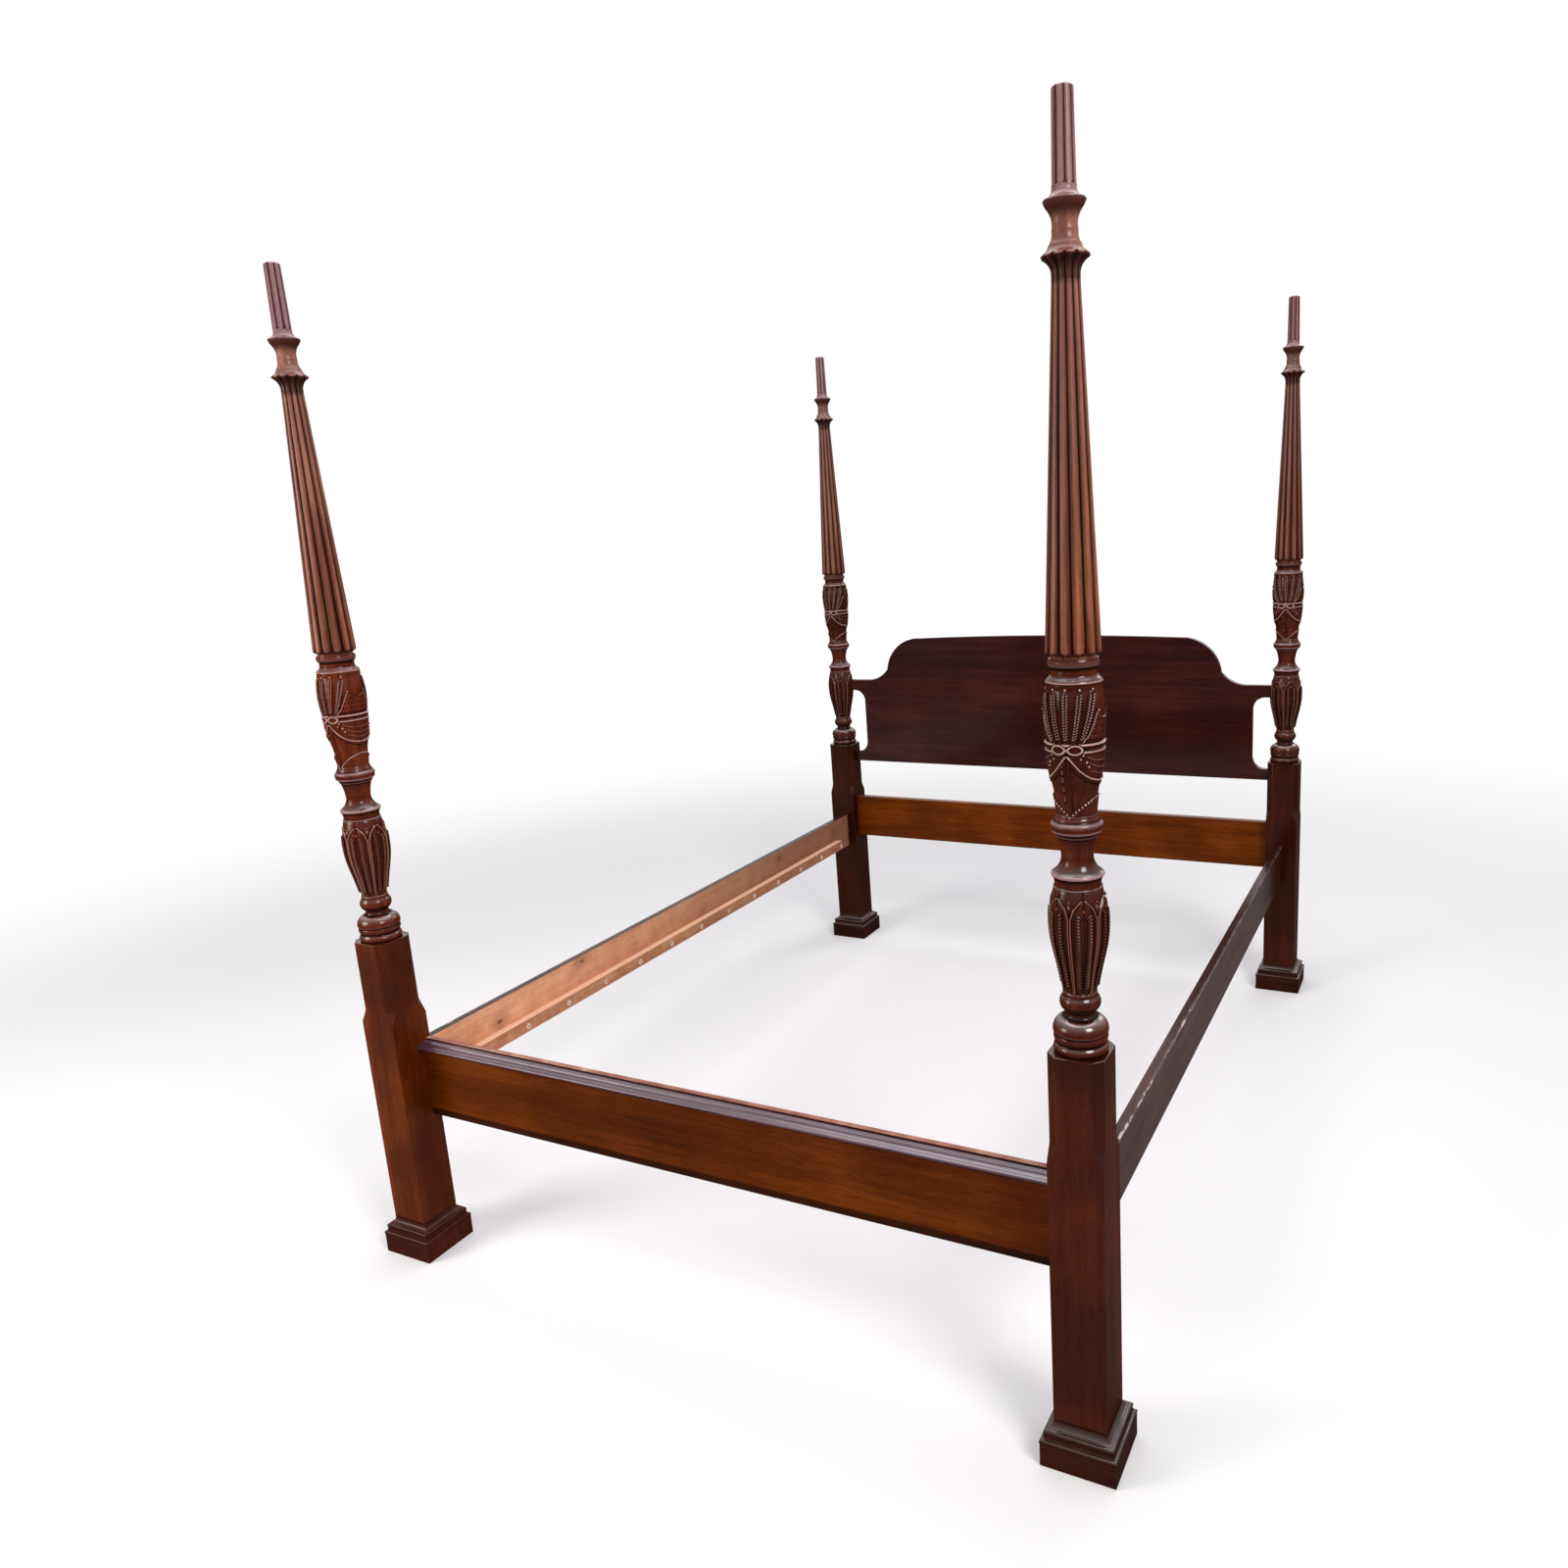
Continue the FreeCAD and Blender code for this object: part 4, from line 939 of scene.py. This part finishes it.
def carvedMesh(name, node, centre, look, relief):
    shade = carvingShade
    heights = np.linspace(look["low"], look["high"], look["rows"])
    radii = smoothed(turnProfile(node, centre, heights / 1000), shade["profileSoftening"])
    angles = np.arange(look["columns"]) / look["columns"] * tau
    a, z = np.meshgrid(motifAngle(look, angles), heights)
    rise = np.minimum(relief(a, z), look["ground"] + look["proud"])
    edge = ramp(np.minimum(heights - look["low"], look["high"] - heights), shade["edge"])[:, None]
    spread = radii[:, None] - (look["ground"] - rise) * look["deepen"] * edge / 1000
    hollow = rise
    for reach in shade["softening"]:
        hollow = softened(hollow, reach)
    hollow = hollow - rise
    # Dark glaze with painted shade in the carving's hollows, and a painted highlight on its crests
    start, slope = shade["crestRise"]
    crest = ramp(rise - start, slope) * np.clip(-hollow / shade["crestFull"], 0, shade["mostCrest"])
    depth = (ramp(hollow, shade["hollowFull"]) - crest) * edge
    return turnedMesh(name, centre, heights / 1000, spread, look["columns"], depth)


# A point for each seed or bead: the motif's middle, angle from it, height, lean from upright, size
beadFlatness = 0.85
seedStand = 0.0003  # how far out a seed's middle stands, for each millimetre of its thickness


def motifMiddles(look):
    return [radians(look["firstAngle"]) + motif * tau / look["motifs"] for motif in range(look["motifs"])]


def beadPoint(middle, a, height, radius, flatness=beadFlatness):
    return middle, a, height, 0, (radius, radius, radius * flatness), "beads"


def upperPoints():
    look = upperCarving
    points = []
    least, (earLean, handLean) = look["leastSeed"], look["seedLean"]
    (small, large), (start, end) = look["garlandBeads"], look["largeBeads"]
    for middle, radius in zip(motifMiddles(look), look["tipBeads"]):
        for ear in look["ears"]:
            for height in np.arange(*look["seedRows"], look["seedPitch"]):
                share = earShare(height)
                half = float(earHalf(ear, share))
                full = least + (1 - least) * half / look["innerEarHalf"]
                size = [part * full for part in look["seedSize"]]
                for hand in (-1, 1):
                    a = earCentre(ear, share) + hand * half * look["seedOut"] / look["degree"]
                    level = height + (hand > 0) * look["seedStagger"]
                    points.append((middle, a, level, earLean * ear + hand * handLean, size, "seeds"))
            level = look["earTop"] + look["tipLift"]
            points.append(beadPoint(middle, earCentre(ear, 1), level, radius, look["tipFlatness"]))
        angle, level = look["arc"][-1]
        for a in (-angle, angle):
            points.append(beadPoint(middle, a, level + look["arcLift"], radius, look["tipFlatness"]))
        for a in np.arange(-90, 90 - look["garlandStep"] / 2, look["garlandStep"]):
            height = look["garlandLow"] + look["garlandRise"] * abs(sin(radians(a)))
            points.append(beadPoint(middle, a, height, large if start < abs(a) < end else small))
    return points


def lowerPoints():
    look = lowerCarving
    points = []
    for middle in motifMiddles(look):
        for way in (-1, 1):
            for height in np.arange(*look["seedRows"], look["seedPitch"]):
                lobe = float(lobeHalf(height))
                size = [part * min(lobe / look["fullLobe"], look["mostSeed"]) for part in look["seedSize"]]
                a = way * (lobe + look["lobeOut"]) / look["degree"]
                points.append((middle, a, height, way * look["seedLean"], size, "seeds"))
        for a, height in zip((0, 180 / look["motifs"]), look["beadLevels"]):
            points.append(beadPoint(middle, a, height, look["beadRadius"]))
    return points


def seedMesh(name, centre, look, points, relief, node):
    mesh = bpy.data.meshes.new(name)
    heights = np.array([point[2] for point in points])
    rows = np.linspace(look["low"], look["high"], look["rows"])
    radii = np.interp(heights, rows, turnProfile(node, centre, rows / 1000))
    places, aims, sizes = [], [], []
    for (middle, a, height, lean, size), radius in zip(points, radii):
        angle = middle + radians(a)
        rise = float(min(relief(np.array([a]), np.array([height]))[0], look["ground"] + look["proud"]))
        out = radius - (look["ground"] - rise) * look["deepen"] / 1000 + size[2] * seedStand
        outward = Vector((cos(angle), sin(angle), 0))
        aside = Vector((-sin(angle), cos(angle), 0))
        along = Vector((0, 0, 1)) * cos(lean) + aside * sin(lean)
        places.append((centre[0] + outward.x * out, centre[1] + outward.y * out, height / 1000))
        aims.append(tuple(Matrix((along, outward.cross(along), outward)).transposed().to_euler()))
        sizes.append([part / 1000 for part in size])
    mesh.from_pydata(places, [], [])
    store(mesh, "aim", aims, "FLOAT_VECTOR")
    store(mesh, "size", sizes, "FLOAT_VECTOR")
    return mesh


# Posts
postSizes = {
    "blockTop": 0.755, "topReach": 0.0005, "edge": 0.0012, "innerCorner": 0.028, "plinthTop": 0.08,
    "rings": [(0.755, 0.852), (1.031, 1.141), (1.352, 1.378)], "ringStep": 0.001, "ringColumns": 80,
    "ringInset": 0.0002, "ringSoftening": (1, 2, 1),
    "seedHighlight": {"lower": 0.15, "upper": 0.5}, "beadHighlight": 0.85,
}
vases = [("lower", lowerCarving, lowerRelief, lowerPoints(), "leaf_wood"),
         ("upper", upperCarving, upperRelief, upperPoints(), "post_wood")]


def shaded(label, wood):
    name = postShades[label] + wood
    return name if name in finishes else wood


def makePost(label, centre):
    node = "post_" + label

    def add(name, mesh):
        newPiece(name + "_" + label, mesh, "frame", "post_wood", node)

    def corner(edge):
        middle = (edge.verts[0].co + edge.verts[1].co) / 2
        inwards = min(abs(middle.x - centre[0]), abs(middle.y - centre[1]))
        upright = inwards > postSizes["innerCorner"] and middle.z > postSizes["plinthTop"]
        return upright or middle.z > postSizes["blockTop"] - postSizes["topReach"]

    block = easedMesh(node, corner, postSizes["edge"], top=postSizes["blockTop"])
    add("post_block", dress(block, shaded(label, "block_wood")))
    columns, inset = postSizes["ringColumns"], postSizes["ringInset"]
    for index, (start, end) in enumerate(postSizes["rings"]):
        heights = levels((start, end, postSizes["ringStep"]))
        radii = turnProfile(node, centre, np.clip(heights, start + inset, end - inset))
        radii = smoothed(radii, postSizes["ringSoftening"])
        depth = np.repeat(ringDepth(heights, radii)[:, None], columns, axis=1)
        mesh = turnedMesh("turning", centre, heights, radii, columns, depth)
        add("post_turning_%d" % (index + 1), dress(mesh, shaded(label, "ring_wood")))
    for word, look, relief, places, wood in vases:
        finish = shaded(label, wood)
        add("post_%s_vase" % word, dress(carvedMesh("vase", node, centre, look, relief), finish))
        for kind, highlight in (("seeds", postSizes["seedHighlight"][word]), ("beads", postSizes["beadHighlight"])):
            chosen = [place[:-1] for place in places if place[-1] == kind]
            points = seedMesh(kind, centre, look, chosen, relief, node)
            grown = grow(points, seeds, {"Highlight": highlight, "Wood": finishes[finish]})
            add("post_%s_%s" % (word, kind), grown)


# Reeded columns and fluted finials
columnSizes = {
    "grooves": 12, "perGroove": 12, "deepest": 0.4, "tip": 1.3785, "tipLength": 0.020, "inset": 0.0001,
    "stretches": [(1.3783, 1.400, 0.001), (1.400, 1.880, 0.012), (1.880, 1.9832, 0.0009)],
    "collar": {"from": 1.895, "to": 1.950, "share": 0.17, "rimShare": 0.8, "runIn": 0.02, "runOut": 0.004},
}
finialSizes = {
    "grooves": 8, "perGroove": 12, "deepest": 0.4, "tip": 2.0140, "tipLength": 0.004, "inset": 0.0001,
    "stretches": [(1.9834, 2.018, 0.0009), (2.018, 2.116, 0.006), (2.116, 2.1362, 0.0007)],
}


def reededPiece(name, node, centre, body, finish, sizes):
    low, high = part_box(node)
    columns = sizes["grooves"] * sizes["perGroove"]
    heights = np.clip(levels(*sizes["stretches"]), low.z + sizes["inset"], high.z - sizes["inset"])
    crest = turnProfile(node, centre, heights)
    groove = turnProfile(node, centre, heights, pi / sizes["grooves"])
    heights[0], heights[-1] = low.z, high.z
    cut = np.clip(1 - groove / np.maximum(crest, 1e-6), 0, sizes["deepest"])
    if "collar" in sizes:  # the grooves run on to the collar's rim
        collar = sizes["collar"]
        start, share = collar["from"], collar["share"]
        near = (heights > start) & (heights < collar["to"])
        rim = heights[near][np.argmax(crest[near])]
        places = (start - collar["runIn"], start, rim, rim + collar["runOut"])
        cut = np.maximum(cut, np.interp(heights, places, (0, share, share * collar["rimShare"], 0)))
    mesh = turnedMesh(name, centre, heights, crest, columns)
    store(mesh, "cut", np.append(np.repeat(cut, columns), (0, 0)))
    grown = grow(mesh, reeds, {"Reeds": sizes["grooves"], "Centre": (*centre, 0), "Tip": sizes["tip"],
                               "Tip Length": sizes["tipLength"], "Wood": finishes[finish]})
    grown.shade_smooth()
    grown.set_sharp_from_angle(angle=smoothAngle)
    newPiece(name, grown, body, "post_wood", node)


for label in postShades:
    low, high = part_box("plinth_" + label)
    centre = ((low.x + high.x) / 2, (low.y + high.y) / 2)
    makePost(label, centre)
    reededPiece("column_reeded_" + label, "column_" + label, centre, "frame",
                shaded(label, "column_wood"), columnSizes)
    reededPiece("finial_fluted_" + label, "finial_" + label, centre, "finial_body_" + label,
                "finial_wood", finialSizes)
    print("post made:", label)


# Boards, mouldings and feet with their edges eased
def longEdge(shortest):
    return lambda edge: edge.calc_length() > shortest


def rimEdge(edge):
    flat = [abs(face.normal.y) > easing["rimFacing"] for face in edge.link_faces]
    return flat[0] != flat[1]


def addBoard(name, node, body, slot, looks, pick, width, way=(0, 0, 0)):
    mesh = dress(easedMesh(node, pick, width), *looks)
    for face in mesh.polygons:
        if face.normal.dot(way) > easing["facing"]:
            face.material_index = 1
    newPiece(name, mesh, body, slot, node)


boards = [  # node, slot, finish, edges to ease, their width, and which way the rubbed strip faces
    ("foot_rail", "rail_wood", "foot_rail_wood", longEdge(1.0), 0.0012, (0, 0, 1)),
    ("foot_rail_moulding", "moulding_wood", "moulding_wood", longEdge(1.0), 0.0006, (0, 0, 0)),
    ("head_rail", "rail_wood", "rail_wood", longEdge(1.0), 0.0015, (0, 0, 0)),
    ("headboard", "headboard_wood", "headboard_wood", rimEdge, 0.0016, (0, 0, 0)),
]
sideRail = {"shortest": 1.0, "edge": 0.0012, "ledgerEdge": 0.001}
plinth = {"shortest": 0.06, "edge": 0.0008}
for node, slot, finish, pick, width, way in boards:
    addBoard(node + "_eased", node, "frame", slot, (finish, "rubbed_wood"), pick, width, way)
for word, inner in (("left", 1), ("right", -1)):
    pick = longEdge(sideRail["shortest"])
    addBoard("side_rail_eased_" + word, "side_rail_" + word, word + "_rail", "rail_wood",
             ("side_wood", "bare_wood"), pick, sideRail["edge"], (inner, 0, 0))
    addBoard("ledger_eased_" + word, "ledger_" + word, word + "_rail", "bare_wood",
             ("ledger_wood",), pick, sideRail["ledgerEdge"])
for label in postShades:
    addBoard("plinth_eased_" + label, "plinth_" + label, "frame", "post_wood",
             (shaded(label, "foot_wood"),), longEdge(plinth["shortest"]), plinth["edge"])

# What still shows as the solid itself: steel fittings and dowels
for name, node in cadNodes.items():
    if node.hide_render:
        continue
    metal = any(word in name for word in ("plate", "screws", "pin"))
    for holder in node.material_slots:
        holder.material = finishes["steel" if metal else "ledger_wood"]
print("boards made")

bpy.context.view_layer.update()
